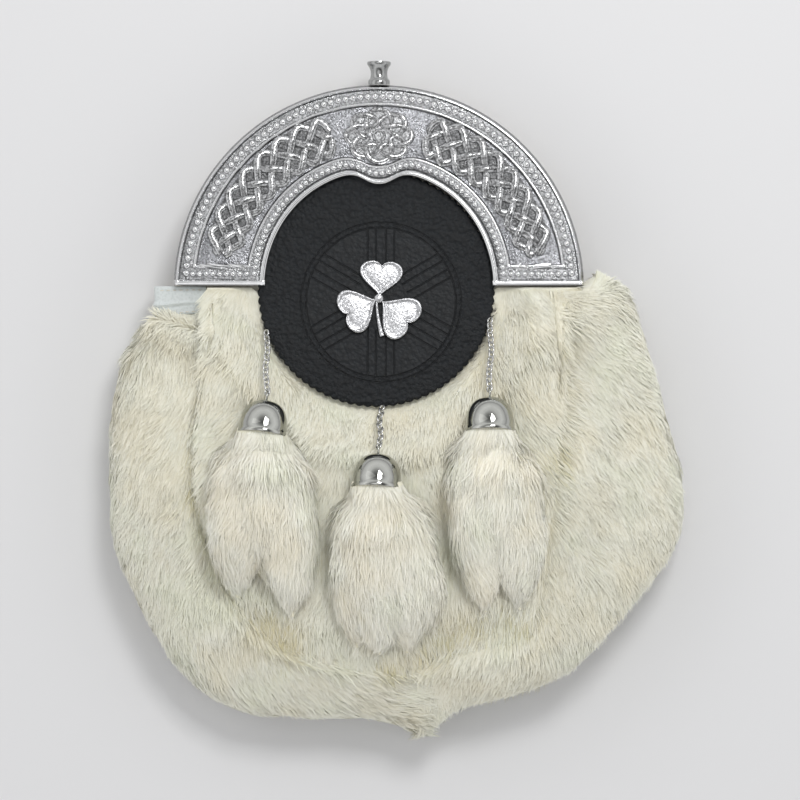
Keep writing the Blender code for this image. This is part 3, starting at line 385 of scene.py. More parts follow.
def makeRoundelMaterial(look):
    # black grained leather, embossed with a double circle and double straps that run in towards the badge
    material, shader = newMaterial("leatherBlack", look["colour"], look["roughness"])
    place = addNode(material, "ShaderNodeMapping")
    place.inputs["Location"].default_value = tuple(-v for v in (look["middle"] + archMiddle))
    join(material, placeOf(material), place.inputs["Vector"])
    parts = addNode(material, "ShaderNodeSeparateXYZ")
    join(material, place.outputs["Vector"], parts.inputs["Vector"])
    x, y = parts.outputs["X"], parts.outputs["Y"]
    squares = sumOf(material, "ADD", sumOf(material, "MULTIPLY", x, x), sumOf(material, "MULTIPLY", y, y))
    reach = sumOf(material, "SQRT", squares)
    pressed = None
    for radius in look["circles"]:
        off = sumOf(material, "ABSOLUTE", sumOf(material, "SUBTRACT", reach, radius))
        line = sumOf(material, "SUBTRACT", 1.0, sumOf(material, "DIVIDE", off, look["line"]), clamp=True)
        pressed = line if pressed is None else sumOf(material, "MAXIMUM", pressed, line)
    angle = sumOf(material, "ARCTAN2", x, y)
    share = sumOf(material, "MULTIPLY", angle, look["straps"] / turn)
    folded = sumOf(material, "ABSOLUTE", sumOf(material, "SUBTRACT", sumOf(material, "FRACT", share), 0.5))
    nearRay = sumOf(material, "MULTIPLY", sumOf(material, "SUBTRACT", 0.5, folded), turn / look["straps"])
    strap = None
    for distance in look["strapEdges"]:
        off = sumOf(material, "SUBTRACT", sumOf(material, "MULTIPLY", nearRay, reach), distance)
        edge = sumOf(material, "DIVIDE", sumOf(material, "ABSOLUTE", off), look["line"])
        edge = sumOf(material, "SUBTRACT", 1.0, edge, clamp=True)
        strap = edge if strap is None else sumOf(material, "MAXIMUM", strap, edge)
    inside = sumOf(material, "LESS_THAN", reach, look["circles"][-1])
    outside = sumOf(material, "GREATER_THAN", reach, look["inner"])
    strap = sumOf(material, "MULTIPLY", strap, sumOf(material, "MULTIPLY", inside, outside))
    pressed = sumOf(material, "MAXIMUM", pressed, strap)
    soft = sumOf(material, "SQRT", pressed)
    cells = addNode(material, "ShaderNodeTexVoronoi", Scale=look["grain"], feature="SMOOTH_F1")
    join(material, placeOf(material), cells.inputs["Vector"])
    rough = sumOf(material, "MULTIPLY", noiseOf(material, 1500, 4.0), 0.5)
    grain = sumOf(material, "ADD", cells.outputs["Distance"], rough)
    smoother = sumOf(material, "SUBTRACT", 1.0, sumOf(material, "MULTIPLY", inside, 0.62))
    grain = sumOf(material, "MULTIPLY", grain, smoother)
    first = addNode(material, "ShaderNodeBump", Strength=1.0, Distance=look["pressDepth"], invert=True)
    join(material, soft, first.inputs["Height"])
    bumpOf(material, shader, grain, 1.0, 0.0007, before=first.outputs["Normal"])
    shader.inputs["Specular IOR Level"].default_value = look["shine"]
    shade = rampOf(material, cells.outputs["Distance"], ((0.10, look["colour"]), (0.60, look["hollow"])))
    patches = rampOf(material, noiseOf(material, 40, 3.0), ((0.3, (0.86, 0.90, 1.0)), (0.7, grey(1.0))))
    tone = rampOf(material, pressed, ((0.0, grey(1.0)), (1.0, grey(0.6))))
    colour = timesOf(material, timesOf(material, shade, patches), tone)
    join(material, colour, shader.inputs["Base Color"])
    return material


# Light, floor and camera

studio = {
    "floor": (0.725, 0.725, 0.73),
    "cameraAt": (0.0015, -0.0008, 1.555),
    "lens": 180,
    "keyAt": (0.27, 0.60, 1.04),
    "keySize": 0.34,
    "keyPower": 5.9,
    "fillAt": (-0.60, 0.10, 1.10),
    "fillSize": 1.5,
    "fillPower": 2.2,
    "skyStrength": 1.02,
    "sky": (    # how bright it is from straight below to straight above
        (0.0, 0.50), (0.15, 0.80), (0.40, 1.05), (0.60, 0.90), (0.76, 0.30), (0.84, 0.10), (0.90, 0.14), (0.94, 0.70),
        (1.0, 0.85),
    ),
}


def makeStudio(look):
    floorMesh = bpy.data.meshes.new("floor")
    half = 4.0
    floorMesh.from_pydata([(-half, -half, 0), (half, -half, 0), (half, half, 0), (-half, half, 0)], [], [(0, 1, 2, 3)])
    floor = bpy.data.objects.new("floor", floorMesh)
    floor.location = (0, 0, -0.0002)
    bpy.context.scene.collection.objects.link(floor)
    material, shader = newMaterial("floorPaper", look["floor"], 0.9)
    floorMesh.materials.append(material)
    for name in ("key", "fill"):
        light = bpy.data.lights.new(name, "AREA")
        light.shape = "SQUARE"
        light.size = look[name + "Size"]
        light.energy = look[name + "Power"]
        lamp = bpy.data.objects.new(name, light)
        lamp.location = look[name + "At"]
        aim = -np.array(look[name + "At"])
        lamp.rotation_euler = (
            np.arccos(-aim[2] / np.linalg.norm(aim)),
            0,
            np.arctan2(aim[1], aim[0]) - np.pi / 2,
        )
        bpy.context.scene.collection.objects.link(lamp)
    makeSky(look)
    camera = bpy.data.cameras.new("camera")
    camera.lens = look["lens"]
    eye = bpy.data.objects.new("camera", camera)
    eye.location = look["cameraAt"]
    bpy.context.scene.collection.objects.link(eye)
    bpy.context.scene.camera = eye


def makeSky(look):
    # soft white overhead with one darker ring lower down, so that plated parts have something to mirror
    bpy.context.scene.view_settings.view_transform = "Standard"
    world = bpy.data.worlds.new("studio")
    world.use_nodes = True
    nodes, links = world.node_tree.nodes, world.node_tree.links
    backdrop = nodes["Background"]
    backdrop.inputs["Strength"].default_value = look["skyStrength"]
    place = nodes.new("ShaderNodeTexCoord")
    parts = nodes.new("ShaderNodeSeparateXYZ")
    ramp = nodes.new("ShaderNodeValToRGB")
    elements = ramp.color_ramp.elements
    while len(elements) < len(look["sky"]):
        elements.new(0.5)
    for element, (height, value) in zip(elements, look["sky"]):
        element.position = height
        element.color = (value, value, value * 1.01, 1)
    links.new(place.outputs["Generated"], parts.inputs["Vector"])
    links.new(parts.outputs["Z"], ramp.inputs["Fac"])
    links.new(ramp.outputs["Color"], backdrop.inputs["Color"])
    bpy.context.scene.world = world


makeStudio(studio)
print("studio is up")


# Leather body, whose edge carries the fur

body = {
    "length": 0.150,
    "halfWidth": 0.094,
    "shoulder": 0.0795,
    "straight": 0.32,        # the share of each half that is a side
    "skew": 0.11,
    "widestAt": 0.45,
    "roundPower": 2.3,
    "edgeHeight": 0.024,
    "mouthSlope": 0.10,
    "bellyRise": 0.009,
    "bellyStart": 0.028,
    "bellyRun": 0.060,
}


def edgePoint(along):
    # straight sides that widen downwards, then a rounded bottom: width and drop are powers of cos and sin
    side = np.where(along < 0.5, -1, 1)
    share = 1 - np.abs(2 * along - 1)
    straight = body["straight"]
    high = share / straight * body["widestAt"]
    highWidth = body["halfWidth"] - (body["halfWidth"] - body["shoulder"]) * (1 - high / body["widestAt"]) ** 2
    angle = np.clip((share - straight) / (1 - straight), 0, 1) * np.pi / 2
    lowWidth = body["halfWidth"] * np.maximum(np.cos(angle), 0) ** (2 / body["roundPower"])
    low = body["widestAt"] + (1 - body["widestAt"]) * np.sin(angle) ** (2 / body["roundPower"])
    down = np.where(share < straight, high, low)
    width = np.where(share < straight, highWidth, lowWidth)
    return stacked(side * width + body["skew"] * down * body["length"], -down * body["length"])


def edgeNormal(along):
    ahead = unit(edgePoint(np.minimum(1, along + 0.004)) - edgePoint(np.maximum(0, along - 0.004)))
    return stacked(ahead[..., 1], -ahead[..., 0])


def mouthPlane(y):
    return body["edgeHeight"] - body["mouthSlope"] * y


def leatherTop(x, y):
    # level at the edge, swelling towards the middle by the cube of the distance left to the edge
    down = np.clip(-y / body["length"], 0, 1)
    across = (x - body["skew"] * -y) / body["halfWidth"]
    along = np.maximum(0, down - body["widestAt"]) / (1 - body["widestAt"])
    swell = 1 - np.minimum(1, np.hypot(across, along)) ** 3
    low = body["edgeHeight"] + body["bellyRise"] * swell * eased((-y - body["bellyStart"]) / body["bellyRun"])
    return np.where(y >= 0, mouthPlane(y), low)


# Fur

fur = {
    "pile": 0.0115,
    "reach": 0.028,
    "borderWidth": 0.037,
    "clearance": 0.0009,
    "depth": 0.0011,        # how far the skin lies below the tips
    "strandLength": 0.0085,
    "strandWidth": 0.00028,
    "strands": 51000,
    "thickTop": 7.0,         # how much denser the strands are where the borders begin
    "raisedTop": 2.5,        # and how much higher they stand
    "dentDepth": 0.0042,
    "dentWidth": 0.011,
    "wild": 0.11,
    "lift": 0.095,
    "lumpSizes": (0.016, 0.007),
    "lumpDepth": 0.0007,
    "densestRun": 0.022,
    "raisedRun": 0.035,
    # how far from the crease the painted crease shade reaches, as a share of the section
    "foldRun": 0.16,
    "roundelX": -0.001,
    "roundelRadius": 0.0454,
}

# what all strands share, on the fur and on the tassels
strandLook = {
    "swing": (0.28, 0.13),           # how far neighbours turn together, over the two distances
    "swingSizes": (0.012, 0.0045),
    "gather": (0.0005, 0.0009),      # how far their tips draw together
    "gatherSizes": (0.0030, 0.0075),
    "liftWave": 0.07,
    "liftSize": 0.005,
    "leastLift": 0.045,
    "curl": 0.10,
    "tilt": 0.5,
    "rooted": 0.0002,                # how deep the root starts
    "lit": 0.16,                     # how much a ribbon's own face counts in its shading
    "joints": ((0.0, 0.80), (0.55, 1.0), (1.0, 0.0)),    # share of the length, and of the width there
    "offFloor": 0.0004,
}

# place along the edge, width inside it, reach outside it, crown, lean, then the way the hair lies
leftBorder = (
    (0.0205, 0.58, 0.06, 0.07, 0, -0.20, -1.00),
    (0.032, 0.57, 0.12, 0.42, 0, -0.30, -1.00),
    (0.046, 0.56, 0.25, 0.68, 0, -0.32, -1.00),
    (0.062, 0.56, 0.42, 0.80, 0, -0.35, -1.00),
    (0.100, 0.52, 0.52, 0.95, 0, -0.45, -0.95),
    (0.156, 0.43, 0.62, 1.00, 0, -0.45, -0.90),
    (0.205, 0.38, 0.75, 1.00, 0, -0.42, -0.90),
    (0.250, 0.34, 0.80, 1.00, 0, -0.36, -0.95),
    (0.300, 0.25, 0.92, 0.95, 0, -0.12, -1.00),
    (0.344, 0.17, 1.00, 0.90, 0, 0.20, -0.95),
    (0.380, 0.13, 0.94, 0.85, 0, 0.50, -0.85),
    (0.410, 0.12, 0.77, 0.85, 0, 0.72, -0.66),
    (0.450, 0.15, 0.62, 0.85, 0, 0.90, -0.45),
    (0.475, 0.17, 0.60, 0.80, 0, 1.00, -0.26),
    (0.4994, 0.22, 0.76, 0.70, 0, 1.00, -0.20),
)
rightBorder = (
    (0.5006, 0.24, 0.76, 0.70, 0, -0.30, -1.00),
    (0.520, 0.36, 0.48, 0.85, 0, -0.22, -1.00),
    (0.550, 0.45, 0.36, 0.95, 0, -0.10, -1.00),
    (0.600, 0.46, 0.34, 1.00, 0, 0.12, -1.00),
    (0.656, 0.76, 0.23, 1.00, 0, 0.30, -0.95),
    (0.688, 0.88, 0.18, 1.00, 0, 0.40, -0.92),
    (0.735, 0.97, 0.26, 1.00, 0, 0.50, -0.86),
    (0.781, 1.00, 0.49, 1.00, 0, 0.56, -0.82),
    (0.820, 0.98, 0.54, 1.00, 0, 0.62, -0.78),
    (0.875, 0.86, 0.43, 0.95, 0, 0.66, -0.75),
    (0.930, 0.68, 0.42, 0.85, 0, 0.72, -0.70),
    (0.970, 0.54, 0.45, 0.75, 10, 0.78, -0.62),
    (0.9975, 0.41, 0.30, 0.60, 32, 0.80, -0.58),
)

# a border's section from its crease over the crown to the floor: distance out, then height above what it lies on
sectionTop = ((-1.0, 0.22), (-0.93, 0.56), (-0.80, 0.80), (-0.52, 0.97), (-0.12, 1.0), (0.42, 0.66), (0.84, 0.08))
sectionSide = ((1.0, 0.55), (0.88, 0.17), (0.50, 0.0))
filledHeight = 0.86    # of the crown, where the fold is full
innerLean = -0.88      # how far the crease side leans the other way

# how far the fold between the middle and a border is filled up, by the place along the edge
foldFill = (
    (0.0, 0.85), (0.05, 0.85), (0.10, 0.70), (0.20, 0.66), (0.30, 0.78), (0.36, 0.90), (0.42, 0.96), (0.47, 1.0),
    (0.62, 1.0), (0.70, 0.98), (0.84, 0.90), (0.90, 0.93), (1.0, 1.0),
)


def fillAlong(along):
    return np.interp(along, *np.array(foldFill).T)


def turnedBy(vectors, angle):
    x, y = vectors[..., 0], vectors[..., 1]
    return stacked(x * np.cos(angle) - y * np.sin(angle), x * np.sin(angle) + y * np.cos(angle))


def borderSkin(rows, sections, steps):
    # each section is a smooth curve through the table's points, set square to the edge and carried along it
    along = np.linspace(rows[0][0], rows[-1][0], sections)
    row = curvePast(rows, along)
    inside, outside = row[:, 0] * fur["borderWidth"], row[:, 1] * fur["reach"]
    crown, lean = row[:, 2] * fur["pile"], np.radians(row[:, 3])
    place, normal = edgePoint(along), edgeNormal(along)
    outer, inner = turnedBy(normal, lean), turnedBy(normal, innerLean * lean)
    edge = body["edgeHeight"] + fur["clearance"]
    fill = fillAlong(along)
    ring = []
    for distance, height in sectionTop:
        way, reach = (outer, outside) if distance > 0 else (inner, inside)
        flat = place + way * (distance * reach)[:, None]
        base = leatherTop(flat[:, 0], flat[:, 1]) + fur["clearance"] if distance < 0 else edge
        filled = height + (filledHeight - height) * fill * (distance < -0.85)
        ring.append(stacked(flat[:, 0], flat[:, 1], base + filled * crown))
    for distance, height in sectionSide:
        flat = place + outer * (distance * outside)[:, None]
        ring.append(stacked(flat[:, 0], flat[:, 1], np.maximum(0.0006, edge * height)))
    ring = np.stack(ring, 1)
    places = np.linspace(0, 1, ring.shape[1])
    table = np.concatenate([places[:, None], ring.transpose(1, 0, 2).reshape(ring.shape[1], -1)], 1)
    skin = curvePast(table, np.linspace(0, 1, steps)).reshape(steps, sections, 3).transpose(1, 0, 2)
    return skin, along, row[:, 4:6]


def skinNormals(skin):
    return unit(np.cross(np.gradient(skin, axis=0), np.gradient(skin, axis=1)))


def scattered(skin, fields, weight, count, seed):
    # roots spread over the grid's cells by their area, with the fields blended inside each cell
    chance = np.random.default_rng(seed)
    first, second = skin[1:, 1:] - skin[:-1, :-1], skin[1:, :-1] - skin[:-1, 1:]
    area = np.linalg.norm(np.cross(first, second), axis=-1) * weight[:-1, :-1]
    total = np.cumsum(area.ravel())
    pick = np.searchsorted(total, (np.arange(count) + chance.random(count)) / count * total[-1])
    pick = np.minimum(pick, total.size - 1)
    i, j = np.divmod(pick, skin.shape[1] - 1)
    s, t = chance.random(count)[:, None], chance.random(count)[:, None]

    def blended(field):
        low = field[i, j] * (1 - s) + field[i + 1, j] * s
        high = field[i, j + 1] * (1 - s) + field[i + 1, j + 1] * s
        return low * (1 - t) + high * t

    return blended(skin), [blended(field) for field in fields]


def strandShape(roots, outward, flow, look, seed, reach=1.0, paintedShade=0.0, above=None, raised=1.0):
    # a ribbon of two joints: it leaves along the flow, rises, bows back down, and leans with its neighbours;
    # where it lies on top, it stays above the calm heights less what "above" says
    chance = np.random.default_rng(seed)
    count = len(roots)
    outward = unit(outward)
    flow = unit(flow - outward * (flow * outward).sum(-1, keepdims=True))
    across = np.cross(flow, outward)
    x, y = roots[:, 0] + 0.8 * roots[:, 2], roots[:, 1] - 0.6 * roots[:, 2]

    def waves(sizes, amounts, first):
        return sum(amount * softNoise(x, y, size, first + k) for k, (size, amount) in enumerate(zip(sizes, amounts)))

    swing = waves(strandLook["swingSizes"], strandLook["swing"], seed + 1)
    swing = swing + look["wild"] * chance.normal(size=count)
    flow, across = (
        flow * np.cos(swing)[:, None] + across * np.sin(swing)[:, None],
        across * np.cos(swing)[:, None] - flow * np.sin(swing)[:, None],
    )
    length = look["strandLength"] * reach * (0.72 + 0.5 * chance.random(count))
    lift = look["lift"] * (0.6 + 0.8 * chance.random(count))
    lift = lift + strandLook["liftWave"] * softNoise(x, y, strandLook["liftSize"], seed + 3)
    lift = np.maximum(lift, strandLook["leastLift"]) * raised
    gather = waves(strandLook["gatherSizes"], strandLook["gather"], seed + 4)
    curl = strandLook["curl"] * chance.normal(size=count)
    width = look["strandWidth"] * (0.7 + 0.6 * chance.random(count))
    tilt = strandLook["tilt"] * chance.normal(size=count)
    flatWay = across * np.cos(tilt)[:, None] + outward * np.sin(tilt)[:, None]
    spots, marks, lights = [], [], []
    # a random tone for each strand, made darker by the painted shade that the strand carries
    tone = np.clip(0.35 + 0.65 * chance.random(count) - 0.7 * paintedShade, 0.02, 1)
    face = unit(np.cross(flatWay, flow))
    face = face * np.sign((face * outward).sum(-1, keepdims=True))
    for t, wide in strandLook["joints"]:
        middle = (
            roots
            + flow * (length * t * (1 - 0.10 * t * t))[:, None]
            + outward * (length * lift * np.sin(0.66 * np.pi * t) - strandLook["rooted"] * (1 - t))[:, None]
            + across * (length * curl * t * t + gather * t**1.6)[:, None]
        )
        sides = (0,) if wide == 0 else (-0.5, 0.5)
        for side in sides:
            spots.append(middle + flatWay * (side * wide * width)[:, None])
            marks.append(stacked(tone, t))
            lights.append(unit(outward + strandLook["lit"] * face))
    points = np.stack(spots, 1).reshape(-1, 3)
    if above is not None:
        onTop = np.repeat(outward[:, 2] > 0.5, 5)
        ground = heightAt(points[:, 0], points[:, 1]) - np.repeat(above * (0.5 + chance.random(count)), 5)
        points[:, 2] = np.where(onTop, np.maximum(points[:, 2], ground), points[:, 2])
    points[:, 2] = np.maximum(points[:, 2], strandLook["offFloor"])
    pattern = np.array([(0, 1, 3), (0, 3, 2), (2, 3, 4)])
    faces = (pattern[None] + (np.arange(count) * 5)[:, None, None]).reshape(-1, 3)
    normals = np.stack(lights, 1).reshape(-1, 3)
    a, b, c = (points[faces[:, k]] for k in range(3))
    wrong = (np.cross(b - a, c - a) * normals[faces[:, 0]]).sum(-1) < 0
    faces[wrong] = faces[wrong][:, ::-1]
    return {"points": points, "faces": faces, "uv": np.stack(marks, 1).reshape(-1, 2)}, normals


def withStrands(skinShape, skinTone, strands, strandNormals):
    skinShape["uv"] = np.broadcast_to(np.array(skinTone), (len(skinShape["points"]), 2)).copy()
    normals = np.concatenate([pointNormals(skinShape), strandNormals])
    return together([skinShape, strands]), normals


# a map of how high the fur stands, one cell a millimetre wide
heightCell = 0.001
heightOrigin = np.array([-0.135, -0.205])
heightMap = np.zeros((280, 260))
fillRounds, evenRounds = 4, 12


def noteHeights(skin):
    # the highest point of the skins over each square millimetre
    i = ((skin[..., 0] - heightOrigin[0]) / heightCell).astype(int)
    j = ((skin[..., 1] - heightOrigin[1]) / heightCell).astype(int)
    np.maximum.at(heightMap, (i.ravel(), j.ravel()), skin[..., 2].ravel())


def heightAt(x, y):
    i = np.clip(((x - heightOrigin[0]) / heightCell - 0.5), 0, heightMap.shape[0] - 2)
    j = np.clip(((y - heightOrigin[1]) / heightCell - 0.5), 0, heightMap.shape[1] - 2)
    p, q = i.astype(int), j.astype(int)
    s, t = i - p, j - q
    near = heightMap[p, q] * (1 - s) + heightMap[p + 1, q] * s
    far = heightMap[p, q + 1] * (1 - s) + heightMap[p + 1, q + 1] * s
    return near * (1 - t) + far * t


def calmHeights():
    # fills the cells between the skins' points with their highest neighbour, then evens all out with its neighbours
    around = [(a, b) for a in (-1, 0, 1) for b in (-1, 0, 1)]
    calm = heightMap
    for again in range(fillRounds):
        highest = np.max([np.roll(calm, shift, (0, 1)) for shift in around], 0)
        calm = np.where(calm > 0, calm, highest)
    for again in range(evenRounds):
        calm = np.mean([np.roll(calm, shift, (0, 1)) for shift in around], 0)
    heightMap[:] = calm


def lumpsOver(wide, fine, sizes, seed):
    # broad lumps, and finer ones half as high
    return softNoise(*wide, sizes[0], seed) + 0.5 * softNoise(*fine, sizes[1], seed + 9)


def makeBorder(name, node, rows, look, seed):
    # strands lie along the table's ways; at the top they part: up towards the tab, or out past the cantle's foot
    skin, along, ways = borderSkin(rows, 190, 44)
    share = np.linspace(0, 1, skin.shape[1])[None, :]
    outward = skinNormals(skin)
    if outward[95, 14, 2] < 0:
        outward = -outward
    x, y, z = np.moveaxis(skin, -1, 0)
    lumps = lumpsOver((x + z, y), (x, y + z), look["lumpSizes"], seed)
    filled = fillAlong(along)[:, None]
    fade = np.maximum(eased(share / 0.12), filled) * eased((1 - share) / 0.12)
    skin = skin + outward * (fade * (look["lumpDepth"] * lumps - look["depth"]))[..., None]
    flow = np.zeros_like(skin)
    flow[..., 0], flow[..., 1] = ways[:, None, 0], ways[:, None, 1]
    flow = unit(flow)
    fromTop = np.minimum(along, 1 - along) - min(rows[0][0], 1 - rows[-1][0])
    parted = (1 - eased((fromTop - 0.003) / 0.007))[:, None]
    atEnd = stacked(0 * share, 1 + 0 * share, 0 * share - 0.4)
    if rows is rightBorder:
        beside = eased((skin[..., 0] - archRadius - 0.0005) / 0.004)
        atEnd = stacked(1 - 0.4 * beside, -0.2 + 1.0 * beside, -0.1 * beside)
    flow = flow * (1 - parted[..., None]) + parted[..., None] * atEnd
    flow[..., 2] -= (0.55 + 2.5 * parted) * (1 - np.clip(outward[..., 2], 0, 1))
    thicker = 1 + look["thickTop"] * (1 - eased(fromTop / look["densestRun"]))
    weight = np.where(share < 0.92, 1.0, 0.3) * thicker[:, None]
    # painted shade: strands darker near the crease where the fold is not filled up, and under the painted shade spots
    fold = (1 - eased(share / look["foldRun"])) * (1 - filled)
    fold = fold + shadeAt(skin[..., 0], skin[..., 1])
    rising = look["raisedTop"] * (1 - eased(fromTop / look["raisedRun"]))[:, None] * (1 - 0.6 * parted)
    rising = rising + 0 * fold
    fields = (outward, flow, fold[..., None], rising[..., None], 1 - 0.5 * parted[..., None] + 0 * fold[..., None])
    roots, (normals, ways, paintedShade, rising, reach) = scattered(skin, fields, weight, look["strands"], seed)
    raised = 1 + rising[:, 0]
    strands, lights = strandShape(roots, normals, ways, look, seed + 20, reach[:, 0], paintedShade[:, 0], look["depth"], raised)
    wall = stacked(*(edgePoint(along) + edgeNormal(along) * fur["clearance"]).T)
    low = stacked(wall[:, 0], wall[:, 1], 0.0006)
    high = stacked(wall[:, 0], wall[:, 1], body["edgeHeight"])
    closed = np.concatenate([skin, low[:, None], high[:, None]], 1)
    shell = facedOut(gridShape(closed, loopColumns=True, capRows=True))
    shape, light = withStrands(shell, (0.5, 0.45), strands, lights)
    addPiece(name, shape, [furWhite], [node], normals=light)
    print(name, len(shape["faces"]), "faces")


bells = {
    "left": {"rim": (-0.0440, -0.0560), "chainX": -0.0430, "turn": -7.0},
    "middle": {"rim": (-0.0008, -0.0762), "chainX": 0.0012, "turn": -3.0},
    "right": {"rim": (0.0420, -0.0548), "chainX": 0.0425, "turn": 0.0},
}


tasselLook = {
    "length": 0.070,
    "halfWidth": 0.0135,
    "thickness": 0.0095,
    "mouth": 0.0081,
    "inBell": 0.0030,
    "strandLength": 0.0125,
    "strandWidth": 0.00028,
    "strands": 30000,        # shared out between a tassel's locks
    "wild": 0.08,
    "lift": 0.06,
    "raisedTop": 2.6,        # how much higher the strands stand just below the bell
    "thickTop": 2.5,         # and how much denser they are there
    "shrink": 0.0013,        # how far the skin lies below the tips
    "straight": 0.60,        # how far the strands follow the lock's middle line and not its skin
    "straightTip": 0.30,
    "shorter": 0.35,         # at the tip, and at the bell
    "ragged": 1.3,           # how unevenly the first strands end
    "tone": (0.25, 0.35),
}

# sideways places where each lock leaves the bell, bows and ends, then its length, half width and thickness
locks = {
    "left": (
        (-0.30, -0.70, -0.72, 0.88, 0.95, 1.00),
        (0.25, 0.80, 0.85, 0.98, 1.00, 0.95),
        (0.00, 0.00, 0.15, 0.80, 0.95, 1.12),
    ),
    "middle": (
        (-0.30, -0.55, -0.55, 0.86, 0.90, 0.90),
        (0.20, 0.85, 0.85, 0.89, 1.10, 1.00),
        (0.35, 1.25, 1.60, 0.76, 0.75, 0.85),
        (0.00, 0.00, 0.10, 0.90, 1.15, 1.10),
    ),
    "right": (
        (-0.25, -0.48, -0.10, 0.97, 0.92, 1.00),
        (0.25, 0.75, 0.85, 0.96, 0.95, 0.95),
        (0.00, 0.15, 0.40, 0.80, 0.95, 1.10),
    ),
}


def creasePoint(along, rows, gap):
    row = curvePast(rows, along)
    inner = turnedBy(edgeNormal(along), innerLean * np.radians(row[:, 3]))
    return edgePoint(along) - inner * (row[:, 0] * fur["borderWidth"] + gap)[:, None]


def dentAt(x, y):
    # three soft hollows where the tassels lie
    depth = 0 * x
    for bell in bells.values():
        rimX, rimY = bell["rim"]
        down = eased((rimY + 0.019 - y) / 0.012) * eased((y - rimY + 0.062) / 0.02)
        depth = depth + fur["dentDepth"] * down * np.exp(-(((x - rimX) / fur["dentWidth"]) ** 2))
    return depth


# painted shade: darker, warmer spots in the fur below the tassels and in the fold at the right: middle, reach and
# strength
paintedShadeSpots = (
    (0.0023, -0.1433, 0.006, 0.8), (0.0262, -0.1310, 0.006, 0.7), (0.0369, -0.1262, 0.006, 0.7),
    (0.0521, -0.1250, 0.007, 0.7), (-0.0440, -0.1225, 0.008, 0.6), (-0.0350, -0.1325, 0.009, 0.6),
    (0.0661, -0.0635, 0.006, 0.7), (0.0175, -0.1385, 0.008, 0.4), (-0.0165, -0.0960, 0.006, 0.4),
    (-0.0705, -0.0620, 0.004, 0.5), (-0.0700, -0.0780, 0.004, 0.5),
)


def lockLine(lock, share):
    # sideways, the bow of a quadratic curve from root past middle to tip; then how far down; then the half width,
    # a power of a sine that sharpens towards the tip
    root, middle, tip, length, width, thickness = lock
    curve = 0.30 * root * (1 - share) ** 2 + 2 * middle * share * (1 - share) + tip * share**2
    swell = np.maximum(np.sin(np.pi * np.minimum(1, share * 0.80 + 0.20)), 0) ** (0.5 + 0.3 * share**3)
    return curve * tasselLook["halfWidth"], tasselLook["length"] * length * share, swell


def shadeAt(x, y):
    # painted shade: the sum of the shade spots' bell curves, with ragged edges
    shade = 0 * x
    ragged = 1 + 0.5 * softNoise(x, y, 0.003, 31)
    for middleX, middleY, reach, strength in paintedShadeSpots:
        shade = shade + strength * np.exp(-((x - middleX) ** 2 + (y - middleY) ** 2) / reach**2) * ragged
    return np.clip(shade, 0, 1)


centre = {
    "start": 0.022,              # where it begins along the edge
    "overlap": 0.0014,           # how far it runs in under the borders
    "top": (-0.0655, 0.0770),    # its ends under the cantle
    "tuck": 0.006,               # how far it runs in under the roundel
    "margin": 0.0012,            # and how far off it stays beside the cantle
    "tuckHalfWidth": 0.030,
    "tuckRun": 0.008,
    "fold": 0.18,                # pile left in an empty fold
    "foldFull": 0.84,            # and in a full one
    "foldRun": 0.15,
    "mouthPile": 0.45,
    "mouthRun": 0.026,
    "slope": 0.65,               # how steeply it may rise beside the roundel
    "lumpSizes": (0.013, 0.006),
    "lumpDepth": 0.0006,
    "besideDisc": 2.2,           # how far the strands turn away from the roundel
    "mouthThick": 6.0,
    "discThick": 3,
    "discReach": 0.40,
}


def centreSkin(sections, steps):
    # lines run from the crease up to the cantle; along each the pile rises from the fold and thins at the mouth
    along = np.linspace(centre["start"], rightBorder[-1][0], sections)
    left, right = along < 0.5, along >= 0.5
    low = np.zeros((sections, 2))
    low[left] = creasePoint(along[left], leftBorder, -centre["overlap"])
    low[right] = creasePoint(along[right], rightBorder, -centre["overlap"])
    highX = np.linspace(*centre["top"], sections)
    beside = np.abs(highX - fur["roundelX"])
    tuck, clear = fur["roundelRadius"] - centre["tuck"], fur["roundelRadius"] + centre["margin"]
    radius = tuck + (clear - tuck) * eased((beside - centre["tuckHalfWidth"]) / centre["tuckRun"])
    highY = np.where(beside < radius, -np.sqrt(np.maximum(radius**2 - beside**2, 0)), 0.0004)
    step = np.linspace(0, 1, steps) ** 1.15
    x = low[:, None, 0] + (highX - low[:, 0])[:, None] * step[None]
    y = low[:, None, 1] + (highY - low[:, 1])[:, None] * step[None]
    base = leatherTop(x, y) + fur["clearance"]
    fill = fillAlong(along)[:, None]
    crown = np.where(right, np.interp(along, [row[0] for row in rightBorder], [row[3] for row in rightBorder]), 1)
    lowest = centre["fold"] + (centre["foldFull"] * crown[:, None] - centre["fold"]) * fill
    nearMouth = centre["mouthPile"] + (1 - centre["mouthPile"]) * eased(-y / centre["mouthRun"])
    settled = eased(step[None] / centre["foldRun"])
    height = fur["pile"] * (lowest * (1 - settled) + nearMouth * settled) - dentAt(x, y)
    off = np.hypot(x - fur["roundelX"], y) - fur["roundelRadius"] - 0.0008
    cover = mouthPlane(y) - 0.0002 + np.maximum(0, off) * centre["slope"]
    top = base + np.maximum(0.0009, np.minimum(base + height, cover) - base)
    return stacked(x, y, top), stacked(x, y, base), off, fill


